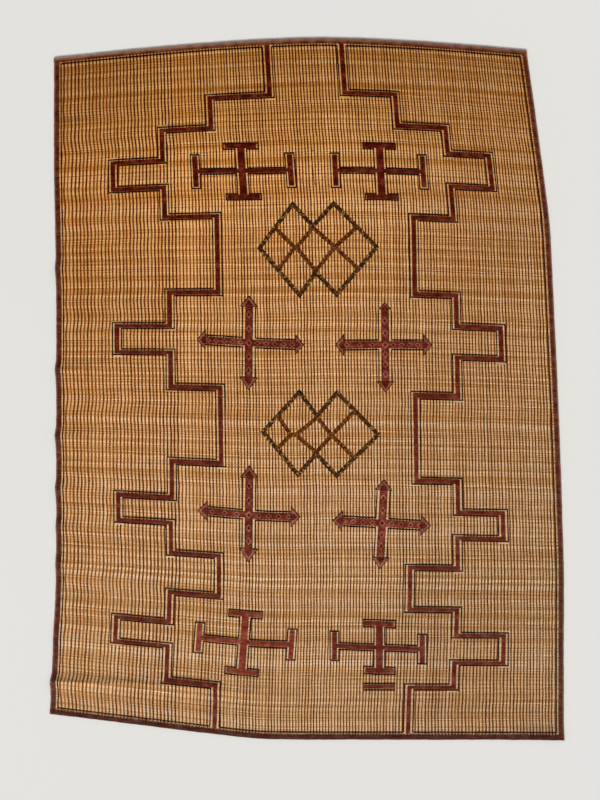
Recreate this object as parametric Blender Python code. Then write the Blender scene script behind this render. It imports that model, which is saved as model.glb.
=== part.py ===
"""A Tuareg mat of reeds and leather, lying flat on the ground.

Units are metres. +Z is up, +Y runs to the head of the mat and +X to its right side.
Every piece is laid out in loom coordinates, a across and b along the mat as it was woven,
with 0, 0 in the middle. The function lay moves them to where the used mat lies.
"""

from collections import namedtuple
from math import hypot

import bmesh
import bpy
from mathutils import Vector

# Reed field as it left the loom
FIELD_WIDTH = 2.085
FIELD_LENGTH = 2.877
FIELD_THICKNESS = 0.005
HALF_WIDTH = FIELD_WIDTH / 2
HALF_LENGTH = FIELD_LENGTH / 2

# Leather
LEATHER = 0.0012
GAP = 0.0003
BINDING_WIDTH = 0.0212
BAND_WIDTH_HEAD = 0.0200
BAND_WIDTH_FOOT = 0.0172
BAND_NARROWS = (0.10, -0.60)
ARROW_ARM_ALONG = 0.0325
ARROW_ARM_ACROSS = 0.0285
LATTICE_RIM = 0.016
LATTICE_BAR = 0.015
BAR_MEETING = 0.006

# Outline of the used mat, as offsets from its loom size
HEAD_CROWN = 0.0266
HEAD_CROWN_AT = 0.113
HEAD_FALL_LEFT = 0.0665
HEAD_FALL_RIGHT = 0.057
HEAD_FALL_POWER = 1.5
FOOT_SAG = 0.0259
FOOT_RISE_FROM = -0.20
FOOT_RISE_SLOPE = 0.128
FOOT_RISE_ROUND = 0.08
LEFT_SPREAD = 0.0049
LEFT_FLARE_FROM = -0.85
LEFT_FLARE_SLOPE = 0.045
LEFT_FLARE_ROUND = 0.05
RIGHT_SPREAD = 0.0316
RIGHT_TAPER_FROM = -0.75
RIGHT_TAPER_SLOPE = 0.0455
RIGHT_NECK_FROM = 0.72
RIGHT_NECK_SLOPE = 0.092
RIGHT_ROUND = 0.08
FAN = 0.026
FAN_CENTRE = 0.70
FAN_REACH = 0.30

# Stretches where the edges were drawn out or in, and how far inwards that reaches
DRAWN_REACH = 0.20
LEFT_DRAWN_OUT = 0.0095
LEFT_DRAWN_FROM = 0.40
LEFT_DRAWN_OVER = 0.60
RIGHT_DRAWN_IN = 0.010
RIGHT_DRAWN_FROM = 0.05
RIGHT_DRAWN_OVER = 1.15
HEAD_DRAWN_IN = 0.0045
FOOT_DRAWN_IN = 0.0050

# Rise over the folded binding, and the corner that curls up at the foot
EDGE_LIFT = LEATHER + GAP
EDGE_LIFT_REACH = 0.09
CURL_HEIGHT = 0.008
CURL_ALONG = 0.10
CURL_ACROSS = 0.32

# Ridges that start at the left edge: crest is their place along the mat, height is at the
# edge, reach is how far in they run, and headward and footward are their two flanks
Ridge = namedtuple("Ridge", "crest height reach headward footward")
RIDGES = (
    Ridge(crest=0.510, height=0.012, reach=0.22, headward=0.07, footward=0.12),
    Ridge(crest=0.070, height=0.014, reach=0.24, headward=0.06, footward=0.10),
    Ridge(crest=-0.215, height=0.016, reach=0.22, headward=0.06, footward=0.11),
    Ridge(crest=-0.445, height=0.012, reach=0.20, headward=0.06, footward=0.09),
    Ridge(crest=-0.615, height=0.008, reach=0.17, headward=0.05, footward=0.07),
    Ridge(crest=-0.780, height=0.009, reach=0.17, headward=0.07, footward=0.09),
    Ridge(crest=-1.100, height=0.007, reach=0.17, headward=0.12, footward=0.09),
)
CREASE = Ridge(crest=-1.250, height=0.018, reach=1.40, headward=0.045, footward=0.08)
CREASE_DROP = 0.040
CREASE_DROP_REACH = 0.45
RIDGE_SHARPNESS = 1.6
RIDGE_FADE = 1.4
RIDGE_PUSH = 0.15

# Each band goes down the mat in steps: a run at across, down to where it turns at ends_at
# into a cross run of the given width
Run = namedtuple("Run", "across ends_at width")
BAND_LEFT = (
    Run(across=-0.113, ends_at=1.208, width=0.014),
    Run(across=-0.374, ends_at=1.084, width=0.014),
    Run(across=-0.587, ends_at=0.958, width=0.014),
    Run(across=-0.801, ends_at=0.843, width=0.015),
    Run(across=-0.585, ends_at=0.718, width=0.014),
    Run(across=-0.365, ends_at=0.400, width=0.018),
    Run(across=-0.569, ends_at=0.260, width=0.014),
    Run(across=-0.790, ends_at=0.148, width=0.014),
    Run(across=-0.567, ends_at=0.004, width=0.018),
    Run(across=-0.362, ends_at=-0.310, width=0.019),
    Run(across=-0.567, ends_at=-0.462, width=0.018),
    Run(across=-0.788, ends_at=-0.570, width=0.015),
    Run(across=-0.573, ends_at=-0.695, width=0.014),
    Run(across=-0.377, ends_at=-0.862, width=0.017),
    Run(across=-0.578, ends_at=-0.987, width=0.014),
    Run(across=-0.793, ends_at=-1.089, width=0.012),
    Run(across=-0.580, ends_at=-1.232, width=0.018),
    Run(across=-0.379, ends_at=-HALF_LENGTH, width=0.014),
)
BAND_RIGHT = (
    Run(across=0.199, ends_at=1.212, width=0.014),
    Run(across=0.414, ends_at=1.084, width=0.019),
    Run(across=0.626, ends_at=0.980, width=0.016),
    Run(across=0.810, ends_at=0.844, width=0.014),
    Run(across=0.626, ends_at=0.709, width=0.017),
    Run(across=0.454, ends_at=0.394, width=0.017),
    Run(across=0.628, ends_at=0.267, width=0.018),
    Run(across=0.814, ends_at=0.139, width=0.015),
    Run(across=0.627, ends_at=-0.022, width=0.020),
    Run(across=0.450, ends_at=-0.373, width=0.017),
    Run(across=0.618, ends_at=-0.499, width=0.016),
    Run(across=0.798, ends_at=-0.605, width=0.014),
    Run(across=0.613, ends_at=-0.730, width=0.015),
    Run(across=0.420, ends_at=-0.902, width=0.013),
    Run(across=0.611, ends_at=-1.006, width=0.012),
    Run(across=0.796, ends_at=-1.119, width=0.012),
    Run(across=0.606, ends_at=-1.220, width=0.013),
    Run(across=0.430, ends_at=-HALF_LENGTH, width=0.014),
)

# Quarters of a cross, round from the upper right
QUARTERS = ((1, 1), (-1, 1), (-1, -1), (1, -1))

# Crosses: centre, the reach of each arm, how far the long arm leans for its length, and
# how far the side arms rise to the right for theirs
Cross = namedtuple("Cross", "a b up down left right lean tilt")
TEES = {
    "tee_head_left": Cross(-0.248, 0.901, 0.102, 0.107, 0.200, 0.203, -0.015, -0.018),
    "tee_head_right": Cross(0.328, 0.896, 0.102, 0.107, 0.189, 0.182, 0.015, 0.013),
    "tee_foot_left": Cross(-0.271, -1.044, 0.116, 0.122, 0.182, 0.198, 0.042, -0.013),
    "tee_foot_right": Cross(0.301, -1.058, 0.098, 0.094, 0.190, 0.176, -0.030, -0.031),
}
ARROWS = {
    "arrow_head_left": Cross(-0.239, 0.193, 0.192, 0.194, 0.215, 0.227, 0.024, -0.055),
    "arrow_head_right": Cross(0.327, 0.183, 0.173, 0.195, 0.206, 0.194, 0.002, 0.022),
    "arrow_foot_left": Cross(-0.251, -0.517, 0.202, 0.195, 0.209, 0.213, 0.027, -0.032),
    "arrow_foot_right": Cross(0.306, -0.548, 0.178, 0.187, 0.206, 0.199, 0.057, -0.044),
}
DASH_AT = (0.306, -1.218)
DASH_HALF = 0.066
DASH_WIDTH = 0.013

# Arms and bars of a T-cross: their widths, and the half lengths of the bars
Tee = namedtuple("Tee", "arm_along arm_across side_bar end_bar side_half end_half")
TEE_SIZES = {
    "tee_head_left": Tee(0.0315, 0.0150, 0.0225, 0.0165, 0.0635, 0.0670),
    "tee_head_right": Tee(0.0315, 0.0150, 0.0215, 0.0165, 0.0635, 0.0620),
    "tee_foot_left": Tee(0.0285, 0.0175, 0.0205, 0.0180, 0.0570, 0.0615),
    "tee_foot_right": Tee(0.0285, 0.0165, 0.0205, 0.0180, 0.0560, 0.0590),
}

# Heads of an arrow cross: half widths and lengths
Heads = namedtuple("Heads", "up up_long down down_long side side_long")
ARROW_HEADS = {
    "arrow_head_left": Heads(0.0365, 0.044, 0.0360, 0.050, 0.0400, 0.033),
    "arrow_head_right": Heads(0.0245, 0.027, 0.0340, 0.044, 0.0430, 0.034),
    "arrow_foot_left": Heads(0.0355, 0.048, 0.0365, 0.056, 0.0410, 0.038),
    "arrow_foot_right": Heads(0.0340, 0.042, 0.0350, 0.046, 0.0400, 0.039),
}

# Lattices: two diamonds that overlap, in one rim. The sizes are half widths and heights
# from the centre a, b; tilt is how far the right side rises for its distance; a shift is to
# the left; a joint is where a bar meets the rim, as a share of the side from its outer tip
Lattice = namedtuple("Lattice", (
    "a b tilt half_wide half_up half_down up down up_shift down_shift "
    "notch_up notch_down notch_up_shift notch_down_shift "
    "left_crossing right_crossing crossing_drop waist left_joint right_joint"))
LATTICES = {
    "lattice_head": Lattice(
        a=0.055, b=0.582, tilt=0.001, half_wide=0.242, half_up=0.084, half_down=0.0765,
        up=0.176, down=0.197, up_shift=0.015, down_shift=0.003,
        notch_up=0.084, notch_down=0.106, notch_up_shift=0.0195, notch_down_shift=0.011,
        left_crossing=-0.092, right_crossing=0.069, crossing_drop=0.002, waist=0.003,
        left_joint=0.46, right_joint=0.46),
    "lattice_foot": Lattice(
        a=0.054, b=-0.180, tilt=-0.026, half_wide=0.240, half_up=0.079, half_down=0.081,
        up=0.166, down=0.174, up_shift=0.008, down_shift=0.017,
        notch_up=0.068, notch_down=0.087, notch_up_shift=0.014, notch_down_shift=0.021,
        left_crossing=-0.115, right_crossing=0.045, crossing_drop=0.010, waist=0.011,
        left_joint=0.40, right_joint=0.57),
}

# Facets: columns over the ridges, then the widest step left between two lines
RIDGE_COLUMNS = (0.16, 0.25)
WIDEST_COLUMN = 0.21
WIDEST_ROW = 0.15
CLOSEST_ROW = 0.018
OUTLINE_STEP = 0.10
CUTTER_BOTTOM = -0.02
CUTTER_TOP = 0.06


# Where the used mat lies

def soft_ramp(value, radius):
    """Nothing below zero and the value itself above, rounded over the radius."""
    return (value + hypot(value, radius)) / 2


def soft_bump(value):
    """One at zero, falling smoothly to nothing at one."""
    return max(0.0, 1.0 - value * value) ** 2


def smooth_step(value):
    """Zero below zero, one above one, and smooth between."""
    share = min(1.0, max(0.0, value))
    return share * share * (3 - 2 * share)


def near(edge, place):
    """One at an edge, falling smoothly to nothing where its pull ends."""
    return smooth_step(1.0 - (edge - place) / DRAWN_REACH)


def drawn(a, b):
    """How far the pull of the nearest edges moved a loom point, across and along."""
    left = LEFT_DRAWN_OUT * smooth_step((b - LEFT_DRAWN_FROM) / LEFT_DRAWN_OVER)
    right = RIGHT_DRAWN_IN * smooth_step((RIGHT_DRAWN_FROM - b) / RIGHT_DRAWN_OVER)
    across = -left * near(HALF_WIDTH, -a) - right * near(HALF_WIDTH, a)
    along = FOOT_DRAWN_IN * near(HALF_LENGTH, -b) - HEAD_DRAWN_IN * near(HALF_LENGTH, b)
    return across, along


def head_edge(a):
    """Offset of the head edge: a low crown right of the middle."""
    from_crown = a - HEAD_CROWN_AT
    fall = HEAD_FALL_LEFT if from_crown < 0 else HEAD_FALL_RIGHT
    return HEAD_CROWN - fall * abs(from_crown) ** HEAD_FALL_POWER


def foot_edge(a):
    """Offset of the foot edge: straight, but rising towards the left corner."""
    return FOOT_RISE_SLOPE * soft_ramp(FOOT_RISE_FROM - a, FOOT_RISE_ROUND) - FOOT_SAG


def left_edge(b):
    """Offset of the left edge: straight, but flaring near the foot."""
    return -LEFT_SPREAD - LEFT_FLARE_SLOPE * soft_ramp(LEFT_FLARE_FROM - b, LEFT_FLARE_ROUND)


def right_edge(b):
    """Offset of the right edge: drawn in slowly, then faster near the head."""
    taper = RIGHT_TAPER_SLOPE * soft_ramp(b - RIGHT_TAPER_FROM, RIGHT_ROUND)
    neck = RIGHT_NECK_SLOPE * soft_ramp(b - RIGHT_NECK_FROM, RIGHT_ROUND)
    return RIGHT_SPREAD - taper - neck


def ridge_height(ridge, a, b, drop=0.0):
    """Height of one ridge: a sharp crest that fades inwards from the left edge."""
    inwards = a + HALF_WIDTH
    fade = max(0.0, 1.0 - max(0.0, inwards) / ridge.reach)
    from_crest = b - (ridge.crest - drop)
    flank = ridge.headward if from_crest > 0 else ridge.footward
    slope = max(0.0, 1.0 - abs(from_crest) / flank)
    return ridge.height * fade ** RIDGE_FADE * slope ** RIDGE_SHARPNESS


def crease_drop(a):
    """How far towards the foot the crease bends off before it meets the left edge."""
    return CREASE_DROP * min(1.0, max(0.0, 1.0 - (a + HALF_WIDTH) / CREASE_DROP_REACH))


def ridges(a, b):
    """Height of all the ridges and of the long crease."""
    total = sum(ridge_height(ridge, a, b) for ridge in RIDGES)
    return total + ridge_height(CREASE, a, b, crease_drop(a))


def underside(a, b):
    """Height of the mat's underside over the ground."""
    from_edge = min(HALF_WIDTH - abs(a), HALF_LENGTH - abs(b))
    lift = (EDGE_LIFT_REACH - from_edge) / (EDGE_LIFT_REACH - BINDING_WIDTH)
    edge = EDGE_LIFT * min(1.0, max(0.0, lift))
    curl_along = max(0.0, 1.0 - max(0.0, b + HALF_LENGTH) / CURL_ALONG)
    curl_across = max(0.0, 1.0 - max(0.0, HALF_WIDTH - a) / CURL_ACROSS)
    curl = CURL_HEIGHT * curl_along ** 2 * curl_across ** 2
    return edge + curl + ridges(a, b)


def lay(a, b):
    """Place in plan of the loom point a, b."""
    across = a / FIELD_WIDTH + 0.5
    along = b / FIELD_LENGTH + 0.5
    across += FAN * soft_bump((across - FAN_CENTRE) / FAN_REACH) * (along - 0.5)
    side = (1 - across) * left_edge(b) + across * right_edge(b)
    end = along * head_edge(a) + (1 - along) * foot_edge(a)
    push = RIDGE_PUSH * ridges(a, b)
    drawn_across, drawn_along = drawn(a, b)
    return (across - 0.5) * FIELD_WIDTH + side + drawn_across - push, b + end + drawn_along


def place(a, b, height):
    """Point at a height over the underside of the mat."""
    x, y = lay(a, b)
    return Vector((x, y, underside(a, b) + height))


# Lines along which facets meet

def fill(lines, widest):
    """The lines, with equal steps between any two that are further apart than widest."""
    filled = [lines[0]]
    for line in lines[1:]:
        start = filled[-1]
        count = int((line - start) / widest) + 1
        filled += [start + (line - start) * step / count for step in range(1, count + 1)]
    return filled


def edge_lines(half):
    """Lines at both edges: the edge, the binding's inner side and the end of the rise."""
    inner = [half, half - BINDING_WIDTH, half - EDGE_LIFT_REACH]
    return sorted([-line for line in inner] + inner)


def columns():
    """Lines that run along the mat."""
    over_ridges = [reach - HALF_WIDTH for reach in RIDGE_COLUMNS]
    return fill(sorted(edge_lines(HALF_WIDTH) + over_ridges), WIDEST_COLUMN)


def rows():
    """Lines that run across the mat, on the crest, the flanks and the feet of each ridge."""
    lines = edge_lines(HALF_LENGTH)
    for ridge in RIDGES:
        feet = (ridge.headward, ridge.headward / 2, 0.0, -ridge.footward / 2, -ridge.footward)
        wanted = [ridge.crest + foot for foot in feet]
        lines += [b for b in wanted if min(abs(b - line) for line in lines) > CLOSEST_ROW]
    crease_top = CREASE.crest + CREASE.headward
    crease_bottom = CREASE.crest - CREASE_DROP - CREASE.footward
    count = int((crease_top - crease_bottom) / (CREASE.headward / 2))
    for step in range(count + 1):
        b = crease_top + (crease_bottom - crease_top) * step / count
        if min(abs(b - line) for line in lines) > CLOSEST_ROW:
            lines.append(b)
    return fill(sorted(lines), WIDEST_ROW)


def lines_around(lines, low, high):
    """The stretch of lines that reaches just past low and high."""
    first = max([i for i, line in enumerate(lines) if line < low], default=0)
    last = min([i for i, line in enumerate(lines) if line > high], default=len(lines) - 1)
    return lines[first:last + 1]


# Solids

def new_object(name, bm, collection, material=None):
    """Object made of a bmesh, with its faces pointing out."""
    bmesh.ops.recalc_face_normals(bm, faces=bm.faces)
    mesh = bpy.data.meshes.new(name)
    bm.to_mesh(mesh)
    bm.free()
    obj = bpy.data.objects.new(name, mesh)
    collection.objects.link(obj)
    if material:
        mesh.materials.append(material)
    return obj


def sheet(name, lines_a, lines_b, low, thickness, collection, material):
    """Slab that follows the mat, from low over its underside up."""
    bm = bmesh.new()
    across = len(lines_a) - 1
    along = len(lines_b) - 1
    bmesh.ops.create_grid(bm, x_segments=across, y_segments=along, size=1.0)
    for vert in bm.verts:
        column = round((vert.co.x + 1) / 2 * across)
        row = round((vert.co.y + 1) / 2 * along)
        vert.co = place(lines_a[column], lines_b[row], low)
    bmesh.ops.triangulate(bm, faces=bm.faces, quad_method="FIXED")
    grown = bmesh.ops.extrude_face_region(bm, geom=bm.faces[:])
    raised = [item for item in grown["geom"] if isinstance(item, bmesh.types.BMVert)]
    bmesh.ops.translate(bm, vec=(0, 0, thickness), verts=raised)
    return new_object(name, bm, collection, material)


def mark_as_cutter(obj):
    """Show a cutter as a wire and keep it out of renders."""
    obj.hide_render = True
    obj.display_type = "WIRE"


def subdivide(outline):
    """The outline with points added along its long sides, so that they can bend."""
    points = []
    for (a0, b0), (a1, b1) in zip(outline, outline[1:] + outline[:1]):
        count = int(hypot(a1 - a0, b1 - b0) / OUTLINE_STEP) + 1
        for step in range(count):
            points.append((a0 + (a1 - a0) * step / count, b0 + (b1 - b0) * step / count))
    return points


def cutter(name, outlines, collection):
    """Upright prisms on outlines that are given in loom coordinates."""
    bm = bmesh.new()
    for outline in outlines:
        verts = []
        for a, b in subdivide(outline):
            x, y = lay(a, b)
            verts.append(bm.verts.new((x, y, CUTTER_BOTTOM)))
        base = bm.faces.new(verts)
        grown = bmesh.ops.extrude_face_region(bm, geom=[base])
        raised = [item for item in grown["geom"] if isinstance(item, bmesh.types.BMVert)]
        bmesh.ops.translate(bm, vec=(0, 0, CUTTER_TOP - CUTTER_BOTTOM), verts=raised)
    obj = new_object(name, bm, collection)
    mark_as_cutter(obj)
    return obj


def boolean(obj, cutter_obj, operation, crossing=False):
    """Add a Boolean; crossing is for a cutter whose own prisms cross each other."""
    modifier = obj.modifiers.new(operation.lower(), "BOOLEAN")
    modifier.operation = operation
    modifier.solver = "EXACT"
    modifier.object = cutter_obj
    modifier.use_self = crossing


def strip(name, outlines, collections, material):
    """Flat leather laid on the field, in the shape of the outlines."""
    made, cutters = collections
    points = [point for outline in outlines for point in outline]
    lines_a = lines_around(columns(), min(a for a, b in points), max(a for a, b in points))
    lines_b = lines_around(rows(), min(b for a, b in points), max(b for a, b in points))
    obj = sheet(name, lines_a, lines_b, FIELD_THICKNESS + GAP, LEATHER, made, material)
    shape = cutter(name + "_shape", outlines, cutters)
    boolean(obj, shape, "INTERSECT", crossing=len(outlines) > 1)
    return obj


def binding(name, lines_a, lines_b, room, collections, material):
    """Leather folded over an edge: a slab on the edge, hollowed by the room for the field."""
    wrap = GAP + LEATHER
    height = FIELD_THICKNESS + 2 * wrap
    obj = sheet(name, lines_a, lines_b, -wrap, height, collections[0], material)
    boolean(obj, room, "DIFFERENCE")


# Outlines in loom coordinates

def band_half(b):
    """Half the width of the upright runs of a band, which is less towards the foot."""
    start, end = BAND_NARROWS
    share = smooth_step((b - end) / (start - end))
    return (BAND_WIDTH_FOOT + (BAND_WIDTH_HEAD - BAND_WIDTH_FOOT) * share) / 2


def band_outline(runs):
    """Both sides of a stepped band, from the head down and back."""
    end = HALF_LENGTH - BINDING_WIDTH - GAP
    sides = []
    for side in (1, -1):
        points = [(runs[0].across + side * band_half(end), end)]
        for run, following in zip(runs, runs[1:]):
            turn = 1 if following.across > run.across else -1
            level = run.ends_at + side * turn * run.width / 2
            points.append((run.across + side * band_half(level), level))
            points.append((following.across + side * band_half(level), level))
        points.append((runs[-1].across + side * band_half(-end), -end))
        sides.append(points)
    return sides[0] + sides[1][::-1]


def cross_at(cross, across, along):
    """Loom point at a distance from the middle of a cross, with its lean and tilt."""
    return (cross.a + across + cross.lean * along, cross.b + along + cross.tilt * across)


def tee_outline(cross, tee):
    """Cross with a bar across the end of each arm."""
    points = []
    for sign_a, sign_b in QUARTERS:
        side = cross.right if sign_a > 0 else cross.left
        end = cross.up if sign_b > 0 else cross.down
        corner = (
            (side + tee.side_bar / 2, tee.side_half),
            (side - tee.side_bar / 2, tee.side_half),
            (side - tee.side_bar / 2, tee.arm_across / 2),
            (tee.arm_along / 2, tee.arm_across / 2),
            (tee.arm_along / 2, end - tee.end_bar / 2),
            (tee.end_half, end - tee.end_bar / 2),
            (tee.end_half, end + tee.end_bar / 2),
        )
        corner = [cross_at(cross, sign_a * across, sign_b * along) for across, along in corner]
        points += corner if sign_a * sign_b > 0 else corner[::-1]
    return points


def arrow_outline(cross, heads):
    """Cross with an arrow head on the end of each arm."""
    half_along = ARROW_ARM_ALONG / 2
    half_across = ARROW_ARM_ACROSS / 2
    tips = ((0, cross.up), (-cross.left, 0), (0, -cross.down), (cross.right, 0))
    points = []
    for (sign_a, sign_b), tip in zip(QUARTERS, tips):
        side = (cross.right if sign_a > 0 else cross.left) - heads.side_long
        end = cross.up - heads.up_long if sign_b > 0 else cross.down - heads.down_long
        barb = heads.up if sign_b > 0 else heads.down
        corner = (
            (side, heads.side),
            (side, half_across),
            (half_along, half_across),
            (half_along, end),
            (barb, end),
        )
        corner = [cross_at(cross, sign_a * across, sign_b * along) for across, along in corner]
        points += corner if sign_a * sign_b > 0 else corner[::-1]
        points.append(cross_at(cross, *tip))
    return points


def between(start, end, share):
    """Point on the way from start to end."""
    return tuple(s + (e - s) * share for s, e in zip(start, end))


def lattice_points(lattice):
    """Corners of the rim and of the inner bars, on their middle lines."""
    def at(across, along):
        return (lattice.a + across, lattice.b + along + lattice.tilt * across)

    left_tip = at(-lattice.half_wide, 0.0)
    right_tip = at(lattice.half_wide, 0.0)
    upper_left = at(-lattice.up_shift - lattice.half_up, lattice.up)
    upper_right = at(-lattice.up_shift + lattice.half_up, lattice.up)
    lower_left = at(-lattice.down_shift - lattice.half_down, -lattice.down)
    lower_right = at(-lattice.down_shift + lattice.half_down, -lattice.down)
    notch_up = at(-lattice.notch_up_shift, lattice.notch_up)
    notch_down = at(-lattice.notch_down_shift, -lattice.notch_down)
    rim = [left_tip, lower_left, notch_down, lower_right, right_tip, upper_right, notch_up, upper_left]
    meet_up = (notch_up[0], notch_up[1] - BAR_MEETING)
    meet_down = (notch_down[0], notch_down[1] + BAR_MEETING)
    left_outer = at(lattice.left_crossing - lattice.waist, -lattice.crossing_drop)
    left_inner = at(lattice.left_crossing + lattice.waist, -lattice.crossing_drop)
    right = at(lattice.right_crossing, -lattice.crossing_drop)
    bars = [
        [meet_up, left_inner, meet_down],
        [between(left_tip, upper_left, lattice.left_joint), left_outer,
         between(left_tip, lower_left, lattice.left_joint)],
        [left_outer, between(left_outer, left_inner, 0.5), left_inner],
        [meet_up, right, between(right_tip, lower_right, lattice.right_joint)],
        [between(right_tip, upper_right, lattice.right_joint), right, meet_down],
    ]
    return rim, bars


def offset_corner(before, corner, after, distance):
    """Corner of a line that runs to the left of two sides, at a distance from them."""
    first = (Vector(corner) - Vector(before)).normalized()
    second = (Vector(after) - Vector(corner)).normalized()
    normal_first = Vector((-first.y, first.x))
    normal_second = Vector((-second.y, second.x))
    middle = (normal_first + normal_second).normalized()
    return tuple(Vector(corner) + middle * distance / middle.dot(normal_first))


def offset_ring(ring, distance):
    """Closed outline moved to the left of its own direction by a distance."""
    count = len(ring)
    return [offset_corner(ring[i - 1], ring[i], ring[(i + 1) % count], distance) for i in range(count)]


def bar_outline(points, width):
    """Outline of a bent bar, a little longer than its middle line at both ends."""
    start, bend, end = [Vector(point) for point in points]
    start_out = start + (start - bend).normalized() * width
    end_out = end + (end - bend).normalized() * width
    sides = []
    for side in (width / 2, -width / 2):
        first = (bend - start).normalized()
        last = (end - bend).normalized()
        normal_first = Vector((-first.y, first.x))
        normal_last = Vector((-last.y, last.x))
        corner = offset_corner(start, bend, end, side)
        sides.append([tuple(start_out + normal_first * side), corner, tuple(end_out + normal_last * side)])
    return sides[0] + sides[1][::-1]


# Pieces

def leather_material(name, colour, roughness):
    """Plain material in the piece's colour."""
    material = bpy.data.materials.new(name)
    material.use_nodes = True
    shader = material.node_tree.nodes["Principled BSDF"]
    shader.inputs["Base Color"].default_value = (*colour, 1.0)
    shader.inputs["Roughness"].default_value = roughness
    shader.inputs["Metallic"].default_value = 0.0
    material.diffuse_color = (*colour, 1.0)
    return material


def make_field(collections, material):
    """The reeds and the thongs that bind them, as one sheet."""
    sheet("reed_field", columns(), rows(), 0.0, FIELD_THICKNESS, collections[0], material)


def make_bindings(collections, material):
    """Four strips folded over the edges; head and foot run over the corners."""
    outer = GAP + LEATHER
    room_columns = columns()
    room_columns[0] -= GAP
    room_columns[-1] += GAP
    room_rows = rows()
    room_rows[0] -= GAP
    room_rows[-1] += GAP
    height = FIELD_THICKNESS + 2 * GAP
    room = sheet("field_room", room_columns, room_rows, -GAP, height, collections[1], None)
    mark_as_cutter(room)
    side_end = HALF_LENGTH - BINDING_WIDTH - GAP
    side_rows = [b for b in rows() if abs(b) < side_end]
    side_rows = [-side_end] + side_rows + [side_end]
    end_columns = [-HALF_WIDTH - outer] + columns()[1:-1] + [HALF_WIDTH + outer]
    right = [HALF_WIDTH - BINDING_WIDTH, HALF_WIDTH + outer]
    left = [-line for line in reversed(right)]
    head = [HALF_LENGTH - BINDING_WIDTH, HALF_LENGTH + outer]
    foot = [-line for line in reversed(head)]
    binding("binding_left", left, side_rows, room, collections, material)
    binding("binding_right", right, side_rows, room, collections, material)
    binding("binding_head", end_columns, head, room, collections, material)
    binding("binding_foot", end_columns, foot, room, collections, material)


def make_strips(collections, material):
    """Bands, crosses and the dash."""
    strip("band_left", [band_outline(BAND_LEFT)], collections, material)
    strip("band_right", [band_outline(BAND_RIGHT)], collections, material)
    for name, cross in TEES.items():
        strip(name, [tee_outline(cross, TEE_SIZES[name])], collections, material)
    for name, cross in ARROWS.items():
        strip(name, [arrow_outline(cross, ARROW_HEADS[name])], collections, material)
    a, b = DASH_AT
    half = DASH_WIDTH / 2
    dash = [(a - DASH_HALF, b - half), (a + DASH_HALF, b - half)]
    dash += [(a + DASH_HALF, b + half), (a - DASH_HALF, b + half)]
    strip("dash_foot_right", [dash], collections, material)


def make_lattices(collections, rim_material, bar_material):
    """A dark rim and, inside it, four bars that cross."""
    for name, lattice in LATTICES.items():
        rim, bars = lattice_points(lattice)
        outside = offset_ring(rim, -LATTICE_RIM / 2)
        inside = offset_ring(rim, LATTICE_RIM / 2)
        window = offset_ring(rim, LATTICE_RIM / 2 + GAP)
        rim_obj = strip(name + "_rim", [outside], collections, rim_material)
        boolean(rim_obj, cutter(name + "_inside", [inside], collections[1]), "DIFFERENCE")
        outlines = [bar_outline(points, LATTICE_BAR) for points in bars]
        bars_obj = strip(name + "_bars", outlines, collections, bar_material)
        boolean(bars_obj, cutter(name + "_window", [window], collections[1]), "INTERSECT")


def main():
    """Clear the scene and build the mat."""
    for obj in list(bpy.data.objects):
        bpy.data.objects.remove(obj, do_unlink=True)
    collections = []
    for name in ("tuareg_mat", "cutters"):
        collection = bpy.data.collections.new(name)
        bpy.context.scene.collection.children.link(collection)
        collections.append(collection)
    reeds = leather_material("reeds", (0.58, 0.36, 0.16), 0.6)
    binding_leather = leather_material("binding_leather", (0.075, 0.016, 0.012), 0.55)
    red_leather = leather_material("red_leather", (0.10, 0.010, 0.008), 0.5)
    dark_thong = leather_material("dark_thong", (0.025, 0.024, 0.014), 0.6)
    brown_thong = leather_material("brown_thong", (0.11, 0.030, 0.012), 0.6)
    make_field(collections, reeds)
    make_bindings(collections, binding_leather)
    make_strips(collections, red_leather)
    make_lattices(collections, dark_thong, brown_thong)


main()
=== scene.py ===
"""Looks of the Tuareg mat: reeds bound with thongs, leather bands, crosses and lattices.

Units are metres. Every piece is worked out in loom coordinates, a across and b along the
mat as it was woven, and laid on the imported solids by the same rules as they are.
"""

from collections import namedtuple
from math import ceil, cos, hypot, pi, sin

import bmesh
import bpy
import numpy as np
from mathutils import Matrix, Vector
from mathutils.geometry import tessellate_polygon

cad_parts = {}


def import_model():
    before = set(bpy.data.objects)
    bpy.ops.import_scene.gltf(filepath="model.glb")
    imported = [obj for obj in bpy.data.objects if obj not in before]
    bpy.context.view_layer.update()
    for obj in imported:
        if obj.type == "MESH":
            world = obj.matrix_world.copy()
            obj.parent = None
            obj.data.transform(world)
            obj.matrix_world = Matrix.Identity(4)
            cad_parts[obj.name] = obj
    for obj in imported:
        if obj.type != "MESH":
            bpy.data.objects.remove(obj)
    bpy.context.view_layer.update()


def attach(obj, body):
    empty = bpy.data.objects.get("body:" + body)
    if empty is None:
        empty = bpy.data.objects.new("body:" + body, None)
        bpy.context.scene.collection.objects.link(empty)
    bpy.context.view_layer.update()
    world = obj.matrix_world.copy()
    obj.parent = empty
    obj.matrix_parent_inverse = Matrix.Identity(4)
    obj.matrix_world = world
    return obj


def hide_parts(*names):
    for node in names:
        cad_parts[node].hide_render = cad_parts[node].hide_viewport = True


# The mat as it left the loom
FIELD_WIDTH = 2.085
FIELD_LENGTH = 2.877
HALF_WIDTH = FIELD_WIDTH / 2
HALF_LENGTH = FIELD_LENGTH / 2
LEATHER = 0.0012
GAP = 0.0003
BINDING_WIDTH = 0.0212

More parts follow.
